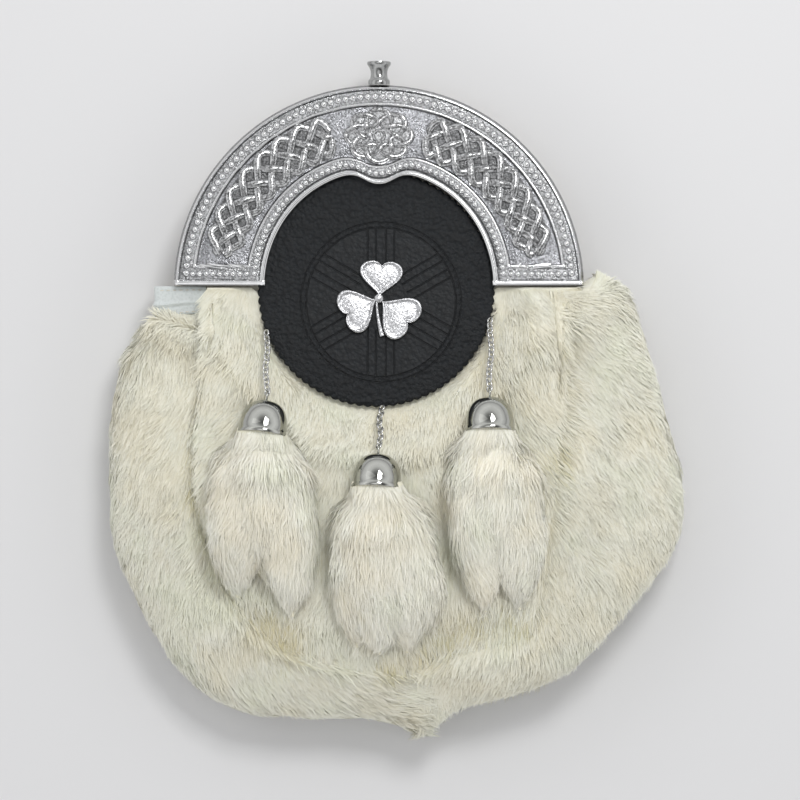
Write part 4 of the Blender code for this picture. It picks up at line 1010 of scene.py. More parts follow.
def makeFurCentre(look, seed):
    skin, under, off, filled = centreSkin(160, 56)
    outward = skinNormals(skin)
    if outward[80, 28, 2] < 0:
        outward = -outward
    flat = (skin[..., 0], skin[..., 1])
    lumps = lumpsOver(flat, flat, centre["lumpSizes"], seed)
    thick = skin[..., 2] - under[..., 2]
    fade = np.clip((thick - 0.001) / 0.004, 0, 1)
    skin = skin + outward * (fade * (centre["lumpDepth"] * lumps - look["depth"]))[..., None]
    flow = np.zeros_like(skin)
    flow[..., 0] = np.clip((skin[..., 0] - 0.006) / 0.10, -0.5, 0.5) * eased((skin[..., 1] + 0.12) / 0.06)
    flow[..., 1] = -1
    nearDisc = (1 - eased(off / 0.003)) * eased((np.abs(skin[..., 0] - look["roundelX"]) - 0.026) / 0.006)
    flow[..., 0] -= centre["besideDisc"] * nearDisc * np.sign(skin[..., 0] - look["roundelX"])
    weight = np.where((off > -0.0035) & (skin[..., 1] < 0.001), 1.0, 0.0)
    weight = weight * np.where(skin[..., 1] > -0.006, centre["mouthThick"], 1.0) * (1 + centre["discThick"] * nearDisc)
    step = np.linspace(0, 1, skin.shape[1])[None, :]
    # painted shade: strands darker near the crease where the fold is not filled up, and under the painted shade spots
    fold = (1 - eased(step / look["foldRun"])) * (1 - filled) + shadeAt(skin[..., 0], skin[..., 1])
    roots, (normals, ways, paintedShade) = scattered(skin, (outward, flow, fold[..., None]), weight, look["strands"], seed)
    away = np.hypot(roots[:, 0] - fur["roundelX"], roots[:, 1]) - fur["roundelRadius"]
    reach = centre["discReach"] + (1 - centre["discReach"]) * eased(away / 0.010)
    strands, lights = strandShape(roots, normals, ways, look, seed + 20, reach, paintedShade[:, 0], look["depth"])
    rim = np.concatenate([skin, under[:, ::-1]], 1)
    shell = facedOut(gridShape(rim, loopColumns=True, capRows=True))
    shape, light = withStrands(shell, (0.5, 0.45), strands, lights)
    addPiece("furCentre", shape, [furWhite], ["fur_center"], normals=light)
    print("furCentre", len(shape["faces"]), "faces")


for border in (leftBorder, rightBorder):
    noteHeights(borderSkin(border, 500, 120)[0])
noteHeights(centreSkin(400, 200)[0])
calmHeights()
makeBorder("furBorderLeft", "fur_border_left", leftBorder, fur, 11)
makeBorder("furBorderRight", "fur_border_right", rightBorder, fur, 12)
makeFurCentre(fur, 13)


# Bells, chains and tassels

bellLook = {"radius": 0.0092, "height": 0.0135, "tilt": np.radians(12), "loop": 0.0018, "loopWire": 0.0004}

# up the outside from the crown to the rim, then back up the inside: shares of the radius and the height
bellProfile = (
    (0.0, 1.0), (0.14, 0.996), (0.29, 0.982), (0.44, 0.953), (0.58, 0.905), (0.70, 0.84), (0.80, 0.755),
    (0.885, 0.645), (0.945, 0.52), (0.985, 0.38), (1.005, 0.25), (1.015, 0.14), (1.03, 0.105), (1.045, 0.07),
    (1.045, 0.02), (1.03, 0.0), (0.95, 0.0), (0.935, 0.10), (0.90, 0.36), (0.76, 0.62), (0.50, 0.80), (0.24, 0.89),
    (0.0, 0.91),
)


def bellTurn(bell):
    # laid over on its side by a quarter turn and the tilt, then swung about the upright
    lay, swing = -np.pi / 2 - bellLook["tilt"], np.radians(bell["turn"])
    over = np.array([[1, 0, 0], [0, np.cos(lay), -np.sin(lay)], [0, np.sin(lay), np.cos(lay)]])
    about = np.array([[np.cos(swing), -np.sin(swing), 0], [np.sin(swing), np.cos(swing), 0], [0, 0, 1]])
    return about @ over


def makeBell(side, bell):
    # the profile turned round its axis and the loop on its crown, laid down with the top where the CAD's is
    cup = turnedShape(bellProfile, 64, bellLook["radius"], bellLook["height"])
    angle = np.linspace(0, turn, 28, endpoint=False)
    rise = bellLook["height"] + bellLook["loop"] * (1 + np.sin(angle)) - 0.0002
    ring = stacked(0 * angle, bellLook["loop"] * np.cos(angle), rise)
    loop = tubeShape(ring, (1.0, 0.0, 0.0), bellLook["loopWire"], bellLook["loopWire"], 10, closed=True)
    shape = together([cup, loop])
    matrix = bellTurn(bell)
    shape["points"] = shape["points"] @ matrix.T
    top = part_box("bell_" + side)[1][2]
    bell["place"] = np.array([*bell["rim"], top - (cup["points"] @ matrix.T)[:, 2].max()])
    bell["matrix"] = matrix
    shape["points"] = shape["points"] + bell["place"]
    addPiece("bell" + side.capitalize(), shape, [plateBell], ["bell_" + side])


chainLook = {"pitch": 0.0021, "width": 0.0030, "wire": 0.00036, "roll": np.radians(42)}


def linkShape(length):
    # a stadium of round wire, long way along x
    angle = np.linspace(0, turn, 20, endpoint=False)
    run = (length - chainLook["width"]) / 2
    bend = chainLook["width"] / 2 - chainLook["wire"]
    x = np.where(np.cos(angle) > 0, run, -run) + bend * np.cos(angle)
    path = stacked(x, bend * np.sin(angle), 0 * angle)
    return tubeShape(path, (0.0, 0.0, 1.0), chainLook["wire"], chainLook["wire"], 8, closed=True)


def makeChain(side, bell):
    # links at even steps from the bell's loop to the roundel's edge, each rolled the other way, on a slight wave
    low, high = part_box("chain_" + side)
    pull = bell["matrix"] @ np.array([0, 0, 1.0])
    start = bell["place"] + pull * (bellLook["height"] + 2 * bellLook["loop"] - 0.0012)
    beside = abs(bell["chainX"] - fur["roundelX"])
    topY = -np.sqrt((fur["roundelRadius"] - 0.0004) ** 2 - beside**2)
    ends = np.array([low[2] + 0.00165, high[2] - 0.00165])
    topZ = ends[np.argmax(np.abs(ends - start[2]))]
    end = np.array([bell["chainX"], topY, topZ])
    run = end - start
    count = int(round(np.linalg.norm(run) / chainLook["pitch"]))
    share = (np.arange(count) + 0.5) / count
    bow = np.sin(np.pi * share)
    wander = 0.0006 * bow * np.sin(share * 7 + bell["rim"][0] * 90)
    places = start + run * share[:, None] + stacked(wander, 0 * share, -0.0003 * bow)
    ahead = np.broadcast_to(unit(run), places.shape)
    level = unit(np.cross(np.array([0, 0, 1.0]), ahead))
    rise = np.cross(ahead, level)
    roll = np.where(np.arange(count) % 2 == 0, chainLook["roll"], -chainLook["roll"])[:, None]
    up = rise * np.cos(roll) + level * np.sin(roll)
    length = np.linalg.norm(run) / count + 3.6 * chainLook["wire"]
    shape = repeated(linkShape(length), places, ahead, up, (1, 1, 1))
    addPiece("chain" + side.capitalize(), shape, [plateChain], ["chain_" + side])


def lockSkin(lock, place, look):
    # an ellipse that swells and closes as lockLine says, on a bowed line that lies on the fur; where it is held by
    # the bell it keeps the bell's mouth, which fades out by a square
    share = np.linspace(0, 1, 48)[:, None]
    around = np.linspace(0, turn, 36, endpoint=False)[None, :]
    sideways, down, swell = lockLine(lock, share)
    held = (1 - np.clip((share - 0.03) / 0.20, 0, 1)) ** 2
    half = np.maximum(0.0005, look["halfWidth"] * lock[4] * swell - look["shrink"])
    thick = np.maximum(0.0005, look["thickness"] * lock[5] * swell - look["shrink"])
    half = half * (1 - held) + look["mouth"] * held
    thick = thick * (1 - held) + look["mouth"] * 0.92 * held
    x = place[0] + sideways
    y = place[1] + look["inBell"] * (1 - share) ** 4 - down
    bed = heightAt(x, y)
    resting = bed + fur["clearance"] + thick * 0.94
    z = resting * (1 - held) + (place[2] - 0.0012 * (1 - held)) * held
    spots = stacked(x + half * np.cos(around), y + 0 * around, z + thick * np.sin(around))
    spots[..., 2] = np.where(share > 0.1, np.maximum(spots[..., 2], bed - 0.0006), spots[..., 2])
    return spots


def makeTassel(side, bell, look, seed):
    # each lock is a skin with strands from the bell to its tip, denser and higher where they begin
    shapes, lights = [], []
    for number, lock in enumerate(locks[side]):
        skin = lockSkin(lock, bell["place"], look)
        shell = facedOut(gridShape(skin, loopColumns=True, capRows=True))
        shell["uv"] = np.broadcast_to(np.array(look["tone"]), (len(shell["points"]), 2)).copy()
        share = np.linspace(0, 1, skin.shape[0])[:, None]
        ahead = np.gradient(skin, axis=0)
        middle = np.broadcast_to(skin.mean(1, keepdims=True), skin.shape)
        outward = unit(np.cross(ahead, np.roll(skin, -1, 1) - np.roll(skin, 1, 1)))
        outward = outward * np.sign((outward * (skin - middle)).sum((1, 2)))[:, None, None]
        straight = (look["straight"] - look["straightTip"] * eased((share - 0.72) / 0.28))[..., None]
        flow = unit(np.gradient(middle, axis=0)) * straight + unit(ahead) * (1 - straight)
        seen = (outward[..., 2] > -0.35) * (share < 0.95)
        wrap, outward, flow, seen = (np.concatenate([field, field[:, :1]], 1) for field in (skin, outward, flow, seen))
        weight = seen * (1 + look["thickTop"] * (1 - eased(share / 0.25)))
        count = look["strands"] // len(locks[side])
        roots, (normals, ways) = scattered(wrap, [outward, flow], weight, count, seed + number)
        down = (bell["place"][1] - roots[:, 1]) / (look["length"] * lock[3])
        reach = 1 - look["shorter"] * (eased((down - 0.55) / 0.45) + eased((0.15 - down) / 0.15))
        ragged = np.random.default_rng(seed + 80 + number).random(len(down)) - 0.5
        reach = reach * (1 + look["ragged"] * ragged * (1 - eased(down / 0.18)))
        raised = 1 + look["raisedTop"] * (1 - eased(down / 0.32)) * eased((down + 0.03) / 0.05)
        strands, strandLights = strandShape(roots, normals, ways, look, seed + 40 + number, reach, raised=raised)
        lights += [pointNormals(shell), strandLights]
        shapes += [shell, strands]
    shape = together(shapes)
    name = "tassel" + side.capitalize()
    addPiece(name, shape, [tasselWhite], ["tassel_" + side], normals=np.concatenate(lights))
    print(name, len(shape["faces"]), "faces")


for number, (side, bell) in enumerate(bells.items()):
    makeBell(side, bell)
    makeChain(side, bell)
    makeTassel(side, bell, tasselLook, 60 + 7 * number)
print("bells, chains and tassels are on")


# Cantle and knob

cantle = {
    "radius": archRadius,
    "opening": 0.0450,
    "endY": 0.0012,
    "endTuck": 0.0015,
    "lobeDrop": 0.0052,
    "lobeAngle": np.radians(10),
    "lobePower": 2.5,
    "roundelThickness": 0.0026,
    "clearance": 0.0003,
    "outerBorder": 0.0087,
    "innerBorder": 0.0078,
    "strand": 0.00152,
    "plaitFrom": np.radians(12.5),
    "plaitTurn": np.radians(60),
    "plaitSwing": 0.0077,
    "plaitWaves": 2.0,
    "knotRadius": 0.0079,
    "knotSwing": 0.0036,
    "knotTurns": 3,
    "knotBows": 8,
    "knotStretch": (1.10, 0.88),
    "knotRing": 0.0021,
    "beads": ((4.55, 2.85, 1.42, True), (4.30, 2.40, 1.20, False)),
    "endBeads": (0.0505, 0.0710, 9, 0.00118),
}

# measured in from the outer edge (1) or out from the inner edge (0), then the height, all in millimetres
cantleProfile = (
    (1, 0.0, -6.6), (1, 0.0, -3.0), (1, 0.0, 0.2), (1, 0.85, 2.6), (1, 1.05, 3.2), (1, 1.25, 3.4), (1, 1.6, 3.4),
    (1, 1.85, 3.1), (1, 2.05, 2.45), (1, 2.3, 2.2), (1, 2.9, 2.35), (1, 6.4, 2.35), (1, 6.75, 2.3), (1, 6.95, 2.8),
    (1, 7.25, 3.05), (1, 7.6, 3.05), (1, 7.95, 2.75), (1, 8.15, 2.0), (1, 8.5, 1.85), (1, 9.2, 2.0),
    (1, 12.0, 2.1), (0, 15.0, 2.15), (0, 11.5, 2.1), (0, 8.3, 2.0), (0, 7.65, 1.85), (0, 7.35, 2.0), (0, 7.15, 2.7),
    (0, 6.85, 3.0), (0, 6.55, 3.0), (0, 6.25, 2.75), (0, 6.05, 2.3), (0, 5.7, 2.35), (0, 2.9, 2.35), (0, 2.45, 2.2),
    (0, 2.2, 2.6), (0, 1.85, 3.15), (0, 1.3, 3.4), (0, 0.75, 3.35), (0, 0.25, 3.0), (0, 0.0, 2.4), (0, 0.0, 0.0),
    (1, 2.0, 0.0), (1, 2.0, -6.6),
)
# which of its columns get another finish than the bright plate, or painted shade: the shaded columns by the beads and
# the wall column, a painted darker reflection, get plateShade
stippledColumns = (18, 19, 20, 21, 22, 23)
shadedColumns = (9, 10, 11, 30, 31)
recessColumns = (8, 17, 24, 32, 33)
wallColumn = 2


def openingRadius(angle):
    # the opening's circle, less a bell-shaped lobe at the top and a tuck at the ends
    lobe = cantle["lobeDrop"] * np.exp(-(np.abs((angle - np.pi / 2) / cantle["lobeAngle"]) ** cantle["lobePower"]))
    return cantle["opening"] - lobe - cantle["endTuck"] * np.cos(angle) ** 4


def cantleHeight(y):
    return mouthPlane(y) + 2 * cantle["clearance"] + cantle["roundelThickness"]


# the same at both ends, by the distance up from the end: its rim, then the bar across the field
endRim = ((0.0, 3.2), (0.3, 3.4), (1.3, 3.4), (1.8, 3.0), (2.05, 2.3), (2.2, 0.0))
endBar = ((2.2, 2.3), (6.6, 2.3), (6.9, 2.8), (7.1, 3.05), (7.5, 3.05), (7.8, 2.8), (8.0, 1.9), (8.4, 0.0))


def makeCantle(look):
    # the profile swept round a half circle, each column at its distance from its own edge, with level ends
    near = np.concatenate([np.linspace(0, 0.052, 44), np.linspace(0.052, 0.5, 92)[1:]])
    share = np.concatenate([near, 1 - near[-2::-1]])[:, None]
    profile = np.array(cantleProfile)
    outerSide = profile[:, 0] > 0.5
    offset, height = profile[:, 1] * millimetre, profile[:, 2] * millimetre
    rough = openingRadius(np.pi * share)
    radius = np.where(outerSide, look["radius"] - offset, rough + offset)
    start = np.arcsin(look["endY"] / radius)
    angle = start + (np.pi - 2 * start) * share
    radius = np.where(outerSide, look["radius"] - offset, openingRadius(angle) + offset)
    x, y = radius * np.cos(angle), radius * np.sin(angle)
    y = np.maximum(y, look["endY"])
    onTop = height > 0.0016
    up = (y - look["endY"]) / millimetre
    number = np.arange(len(profile))
    inField = (number > 11) & (number < 31)
    crossing = (number > 12) & (number < 17) | (number > 25) & (number < 30)
    onWall = (number < 3) | (number > 39)
    pastRim = up > endRim[-1][0]
    ends = np.interp(up, *np.array(endRim).T)
    ends = np.maximum(ends, np.where(inField & pastRim, np.interp(up, *np.array(endBar).T), 0)) * millimetre
    rise = np.where(onTop, np.maximum(height, ends), height)
    rise = np.where(crossing & pastRim & (up < endBar[1][0]), endBar[1][1] * millimetre, rise)
    rise = np.where(onWall, height, rise)
    spots = stacked(x, y, cantleHeight(y) + rise)
    band = gridShape(spots, loopColumns=True, capRows=True)
    column = band["faces"][:, 0] % len(profile)
    turnedRound = facedOut(band)
    # material numbers: stippled and recess finishes, and painted shade from plateShade (3) on the channels, the wall
    # and the end bead rows
    finishAndShade = np.isin(column, stippledColumns) + 2 * np.isin(column, recessColumns)
    finishAndShade = finishAndShade + 3 * (np.isin(column, shadedColumns) | (column == wallColumn))
    atEnd = band["points"][band["faces"]].mean(1)[:, 1] - look["endY"]
    flatEnd = (atEnd < 0.0021) | ((atEnd > 0.0066) & (atEnd < 0.0080))
    onFace = (column > 7) & (column < 34)
    inEndRow = (atEnd >= 0.0021) & (atEnd <= 0.0066) & onFace
    finishAndShade = np.where(flatEnd & ((column > 11) & (column < 31) | (atEnd < 0.0021)), 0, np.where(inEndRow, 3, finishAndShade))
    patches = [plaitGround(look), knotGround(look)]
    shapes = [turnedRound] + patches + [beadRows(look), sidePlaits(look), centreKnot(look)]
    shape = together(shapes)
    materialOf = np.zeros(len(shape["faces"]))
    first, second = len(band["faces"]), len(band["faces"]) + len(patches[0]["faces"])
    materialOf[:first] = finishAndShade
    materialOf[first:second] = 2
    # the knot's patch gets plateShade: painted shade under the knot
    materialOf[second:second + len(patches[1]["faces"])] = 3
    drawn = len(shape["faces"]) - sum(len(part["faces"]) for part in shapes[-2:])
    materialOf[drawn:] = 4
    materials = [plateBright, plateStippled, plateRecess, plateShade, plateRelief]
    addPiece("cantleCasting", shape, materials, ["cantle"], materialOf=materialOf)
    print("cantle", len(shape["faces"]), "faces")


def beadShape():
    # half a ball, in rings from its foot to its pole
    lift = np.linspace(0, np.pi / 2, 5)[:-1]
    angle = np.linspace(0, turn, 12, endpoint=False)
    wide, high = np.cos(lift)[:, None], np.sin(lift)[:, None]
    spots = stacked(wide * np.cos(angle), wide * np.sin(angle), high + 0 * angle)
    shape = gridShape(spots, loopColumns=True)
    ring = np.arange(12)
    top = len(shape["points"])
    fan = np.stack([36 + ring, 36 + (ring + 1) % 12, np.full(12, top)], -1)
    shape["points"] = np.concatenate([shape["points"], [[0, 0, 1.0]]])
    shape["uv"] = np.zeros((top + 1, 2))
    faces = np.concatenate([shape["faces"], fan])
    a, b, c = (shape["points"][faces[:, k]] for k in range(3))
    wrong = (np.cross(b - a, c - a) * (a + b + c)).sum(-1) < 0
    faces[wrong] = faces[wrong][:, ::-1]
    shape["faces"] = faces
    return shape


def beadRows(look):
    # beads at even steps round both borders and across both ends
    places, sizes = [], []
    for offset, pitch, size, outerSide in look["beads"]:
        angle = np.linspace(0, np.pi, 400)
        inward = offset * millimetre
        radius = look["radius"] - inward + 0 * angle if outerSide else openingRadius(angle) + inward
        x, y = radius * np.cos(angle), radius * np.sin(angle)
        inside = y > look["endY"] + 0.0042
        x, y = x[inside], y[inside]
        run = np.concatenate([[0], np.cumsum(np.hypot(np.diff(x), np.diff(y)))])
        count = int(round(run[-1] / (pitch * millimetre)))
        stops = np.linspace(0, run[-1], count + 1)
        places.append(stacked(np.interp(stops, run, x), np.interp(stops, run, y)))
        sizes.append(np.full(count + 1, size * millimetre))
    nearest, farthest, count, size = look["endBeads"]
    for side in (-1, 1):
        x = side * np.linspace(nearest, farthest, count)
        places.append(stacked(x, look["endY"] + 0.0043 + 0 * x))
        sizes.append(np.full(count, size))
    flat, size = np.concatenate(places), np.concatenate(sizes)
    spots = stacked(flat[:, 0], flat[:, 1], cantleHeight(flat[:, 1]) + 0.0022)
    up = np.broadcast_to(unit(np.array([0, body["mouthSlope"], 1.0])), spots.shape)
    side = np.broadcast_to(np.array([1.0, 0, 0]), spots.shape)
    return repeated(beadShape(), spots, side, up, size[:, None] * np.array([[1, 1, 1.0]]))


def overUnder(phase, places, ways):
    # up at each second crossing and down at those between, eased from one to the next
    phase = np.mod(phase, turn)
    i = np.clip(np.searchsorted(places, phase, side="right") - 1, 0, len(places) - 2)
    share = eased((phase - places[i]) / (places[i + 1] - places[i]))
    return ways[i] * (1 - share) + ways[i + 1] * share


def plaitLine(share):
    # the middle of a side plait and how far it swings, along the band from its end towards the top
    angle = cantle["plaitFrom"] + cantle["plaitTurn"] * share
    ends = np.minimum(np.clip(share, 0, 1) / 0.10, np.clip(1 - share, 0, 1) / 0.05)
    swing = cantle["plaitSwing"] * (0.25 + 0.75 * np.sqrt(np.clip(ends, 0, 1)))
    return angle, swing * (0.78 + 0.22 * share)


def plaitMiddle(look):
    return (look["radius"] - look["outerBorder"] + look["opening"] + look["innerBorder"]) / 2 + 0.0002


def raisedPatch(x, y, lift):
    # a thin patch that follows the plate, its faces up
    shape = gridShape(stacked(x, y, cantleHeight(y) + lift))
    points, faces = shape["points"], shape["faces"]
    a, b, c = (points[faces[:, k]] for k in range(3))
    wrong = np.cross(b - a, c - a)[:, 2] < 0
    faces[wrong] = faces[wrong][:, ::-1]
    return shape


def plaitGround(look):
    # the darkened ground that shows between a plait's strands
    share = np.linspace(0, 1, 70)[:, None]
    across = np.linspace(-1, 1, 12)[None, :]
    angle, swing = plaitLine(share)
    radius = plaitMiddle(look) + across * (swing + 0.0006)
    lift = 0.00235 - 0.00025 * across**6
    return together([raisedPatch(s * radius * np.cos(angle), radius * np.sin(angle), lift) for s in (-1, 1)])


def knotGround(look):
    # an oval of shaded ground under the middle knot
    angle = np.linspace(0, turn, 60)[:, None]
    share = np.linspace(0.02, 1, 8)[None, :]
    wide, high = look["knotStretch"]
    radius = 0.0112 * share
    x, y = wide * radius * np.sin(angle), knotMiddleY(look) + high * radius * np.cos(angle)
    return raisedPatch(x, y, 0.0023 - 0.0002 * share**4)


def knotMiddleY(look):
    return (look["radius"] - look["outerBorder"] + look["opening"] - look["lobeDrop"] + look["innerBorder"]) / 2


def sidePlaits(look):
    # four strands, a quarter wave apart, each a rounded zigzag across the band, passing over and under
    crossings = np.array([0, 1, 3, 4, 5, 7, 8]) * np.pi / 4
    ways = np.array([-1, 1, -1, 1, -1, 1, -1.0])
    middle = plaitMiddle(look)
    shapes = []
    share = np.linspace(0, 1, 150)
    angle, swing = plaitLine(share)
    for side in (-1, 1):
        for quarter in range(4):
            phase = turn * look["plaitWaves"] * share + quarter * np.pi / 2 + 0.35
            zigzag = (np.sin(phase) - np.sin(3 * phase) / 9) / 1.11
            radius = middle + swing * zigzag
            x, y = side * radius * np.cos(angle), radius * np.sin(angle)
            rise = 0.0026 + 0.00055 * overUnder(phase, crossings, ways)
            path = stacked(x, y, cantleHeight(y) + rise)
            shapes.append(tubeShape(path, (0, 0, 1.0), look["strand"], 0.0010, 8))
    return together(shapes)


def centreKnot(look):
    # one endless strand, three times round with eight bows, a little wider than high
    crossings = np.array([0, 1, 2, 3, 4, 5, 6]) * np.pi / 3
    ways = np.array([0, 1, -1, 0, 1, -1, 0.0])
    angle = np.linspace(0, look["knotTurns"] * turn, 420, endpoint=False)
    phase = angle * look["knotBows"] / look["knotTurns"]
    radius = look["knotRadius"] + look["knotSwing"] * np.cos(phase)
    middleY = knotMiddleY(look)
    wide, high = look["knotStretch"]
    x, y = wide * radius * np.sin(angle), middleY + high * radius * np.cos(angle)
    rise = 0.0021 + 0.00045 * overUnder(phase, crossings, ways)
    path = stacked(x, y, cantleHeight(y) + rise)
    knot = tubeShape(path, (0, 0, 1.0), 0.00105, 0.00085, 8, closed=True)
    around = np.linspace(0, turn, 60, endpoint=False)
    x, y = look["knotRing"] * np.cos(around), middleY + look["knotRing"] * np.sin(around)
    ring = tubeShape(stacked(x, y, cantleHeight(y) + 0.0022), (0, 0, 1.0), 0.0006, 0.0007, 8, closed=True)
    return together([knot, ring])


makeCantle(cantle)

# from the middle of the top, down the outside to the foot: shares of the radius and the height
knobProfile = (
    (0.0, 0.945), (0.30, 0.94), (0.62, 0.95), (0.78, 0.985), (0.90, 1.0), (0.98, 0.985), (1.0, 0.93), (0.99, 0.88),
    (0.93, 0.83), (0.83, 0.76), (0.75, 0.67), (0.70, 0.58), (0.69, 0.46), (0.71, 0.34), (0.77, 0.25), (0.83, 0.22),
    (0.90, 0.17), (0.92, 0.08), (0.90, 0.0), (0.0, 0.0),
)


def makeKnob():
    # the profile turned on an axis that lies along the sporran
    low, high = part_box("finial")
    middle = (np.array(low) + np.array(high)) / 2 - archMiddle
    shape = turnedShape(knobProfile, 56, (high[0] - low[0]) / 2, high[1] - low[1])
    x, y, z = shape["points"].T
    shape["points"] = stacked(x + middle[0], z + low[1] - archMiddle[1], y + middle[2])
    addPiece("knob", facedOut(shape), [plateKnob], ["finial"])


makeKnob()


# Roundel and badge

roundel = {
    "scallops": 86,
    "scallopDepth": 0.0007,
    "thickness": 0.0026,
    "middle": np.array([0.0008, -0.0052, 0.0]),
    "circles": (0.0306, 0.0286),
    "line": 0.00042,
    "straps": 6,
    "strapEdges": (0.0019, 0.0051),
    "inner": 0.0105,
    "pressDepth": 0.00035,
    "grain": 680,
    "colour": (0.0085, 0.0108, 0.0125),
    "hollow": (0.004, 0.005, 0.006),
    "roughness": 0.50,
    "shine": 0.28,
}


def makeRoundel(look):
    # a disc whose radius dips between scallops by one less the size of a sine, its edge rounded over
    angle = np.linspace(0, turn, look["scallops"] * 6, endpoint=False)[:, None]
    dip = look["scallopDepth"] * (1 - np.abs(np.sin(look["scallops"] / 2 * angle)))
    shares = np.concatenate([np.linspace(0.02, 0.94, 24), [0.965, 0.985, 0.995, 1.0, 1.0, 1.0, 0.99, 0.5]])
    lifts = np.concatenate([np.full(24, 1.0), [1.0, 0.96, 0.86, 0.70, 0.30, 0.10, 0.0, 0.0]])
    radius = (fur["roundelRadius"] - dip * (shares > 0.9)) * shares
    x, y = fur["roundelX"] + radius * np.cos(angle), radius * np.sin(angle)
    z = mouthPlane(y) + cantle["clearance"] + 0.00005 + look["thickness"] * lifts
    shape = gridShape(stacked(x, y, z), loopRows=True)
    first = np.arange(len(angle)) * len(shares)
    after = np.roll(first, -1)
    total = len(shape["points"])
    middles = np.array([[fur["roundelX"], 0, mouthPlane(0) + 0.00035 + rise * look["thickness"]] for rise in (1, 0)])
    shape["points"] = np.concatenate([shape["points"], middles])
    last = len(shares) - 1
    shape["faces"] = np.concatenate([
        shape["faces"],
        np.stack([after, first, np.full(len(first), total)], -1),
        np.stack([first + last, after + last, np.full(len(first), total + 1)], -1),
    ])
    shape["uv"] = np.zeros((len(shape["points"]), 2))
    addPiece("roundel", facedOut(shape), [makeRoundelMaterial(look)], ["leather_roundel"])


makeRoundel(roundel)

badge = {"y": -0.0042, "thickness": 0.0016, "heart": 0.0150, "floor": 0.00012, "stem": 0.0150, "stemBend": 0.0022}

# each leaf: where its tip is, which way it points in degrees, and its size
hearts = ((0.0003, 0.0008, 86, 1.00), (-0.0006, 0.0002, 207, 1.06), (0.0008, -0.0004, -40, 1.10))


def heartShape(row):
    # the usual heart of sines and cosines, with a raised edge round a dished middle, closed underneath
    tipX, tipY, points, size = row
    t = np.linspace(0, turn, 96, endpoint=False)
    scale = badge["heart"] * size / 29.0
    across = 16 * np.sin(t) ** 3 * scale
    up = (13 * np.cos(t) - 4 * np.cos(2 * t) - 1.6 * np.cos(3 * t) - 0.6 * np.cos(4 * t) + 16.0) * scale
    turnBy = np.radians(points - 90)
    x = tipX + across * np.cos(turnBy) - up * np.sin(turnBy)
    y = badge["y"] + tipY + across * np.sin(turnBy) + up * np.cos(turnBy)
    middleX, middleY = x.mean(), y.mean()
    shares = np.array([0.05, 0.25, 0.45, 0.62, 0.74, 0.80, 0.85, 0.90, 0.95, 0.985, 1.0, 1.0, 0.9, 0.3])
    lifts = np.array([0.96, 0.95, 0.91, 0.84, 0.76, 0.76, 0.88, 1.0, 1.0, 0.88, 0.66, 0.0, 0.0, 0.0])
    gridX = middleX + (x - middleX)[:, None] * shares
    gridY = middleY + (y - middleY)[:, None] * shares
    base = mouthPlane(gridY) + 2 * cantle["clearance"] + cantle["roundelThickness"] + badge["floor"]
    spots = stacked(gridX, gridY, base + lifts * badge["thickness"])
    return facedOut(gridShape(spots.transpose(1, 0, 2), loopColumns=True, capRows=True))


def makeBadge():
    # three leaves, a bent stem and a small boss where they meet
    share = np.linspace(0, 1, 24)
    x = -0.0009 + badge["stemBend"] * share**2
    y = badge["y"] + 0.001 - badge["stem"] * share
    base = mouthPlane(y) + 2 * cantle["clearance"] + cantle["roundelThickness"] + badge["floor"]
    wide = 0.0005 + 0.0005 * share**2
    stem = tubeShape(stacked(x, y, base + 0.0006), (0, 0, 1.0), wide, 0.0006, 12)
    place = np.array([[0.0, badge["y"] + 0.0004, cantleHeight(badge["y"]) + 0.0009]])
    ahead, up = np.array([[1.0, 0, 0]]), np.array([[0, 0.1, 1.0]])
    boss = repeated(beadShape(), place, ahead, up, (0.0019, 0.0019, 0.0011))
    shape = together([heartShape(row) for row in hearts] + [stem, boss])
    addPiece("cloverBadge", shape, [plateBadge], ["shamrock_badge"])


makeBadge()
print("metal work and roundel are on")


# Leather: shoulder tab, back, strap, and the panels under the fur

def stitchShape():
    # a short thread: a fat ellipse along x
    lift = np.linspace(-1, 1, 7)
    angle = np.linspace(0, turn, 6, endpoint=False)
    wide = np.sqrt(np.maximum(1 - np.abs(lift) ** 3, 0.02))[:, None]
    spots = stacked(lift[:, None] + 0 * angle, wide * np.cos(angle), wide * np.sin(angle))
    return facedOut(gridShape(spots, loopColumns=True, capRows=True))


def stitchesAlong(path, up, pitch, length, radius):
    # threads at even steps along a line of points
    path = np.asarray(path, float)
    run = np.concatenate([[0], np.cumsum(np.linalg.norm(np.diff(path, axis=0), axis=1))])
    stops = np.arange(pitch / 2, run[-1], pitch)
    spots = np.stack([np.interp(stops, run, path[:, k]) for k in range(3)], -1)
    ahead = unit(np.stack([np.interp(stops + pitch / 4, run, path[:, k]) for k in range(3)], -1)
                 - np.stack([np.interp(stops - pitch / 4, run, path[:, k]) for k in range(3)], -1))
    ups = np.broadcast_to(np.asarray(up, float), spots.shape)
    ups = unit(ups - ahead * (ups * ahead).sum(-1, keepdims=True))
    return repeated(stitchShape(), spots, ahead, ups, (length / 2, radius, radius))


tab = {"length": 0.020, "width": 0.0115, "drop": 0.017, "leather": 0.0018, "bend": 0.0022, "foldAt": 0.42}


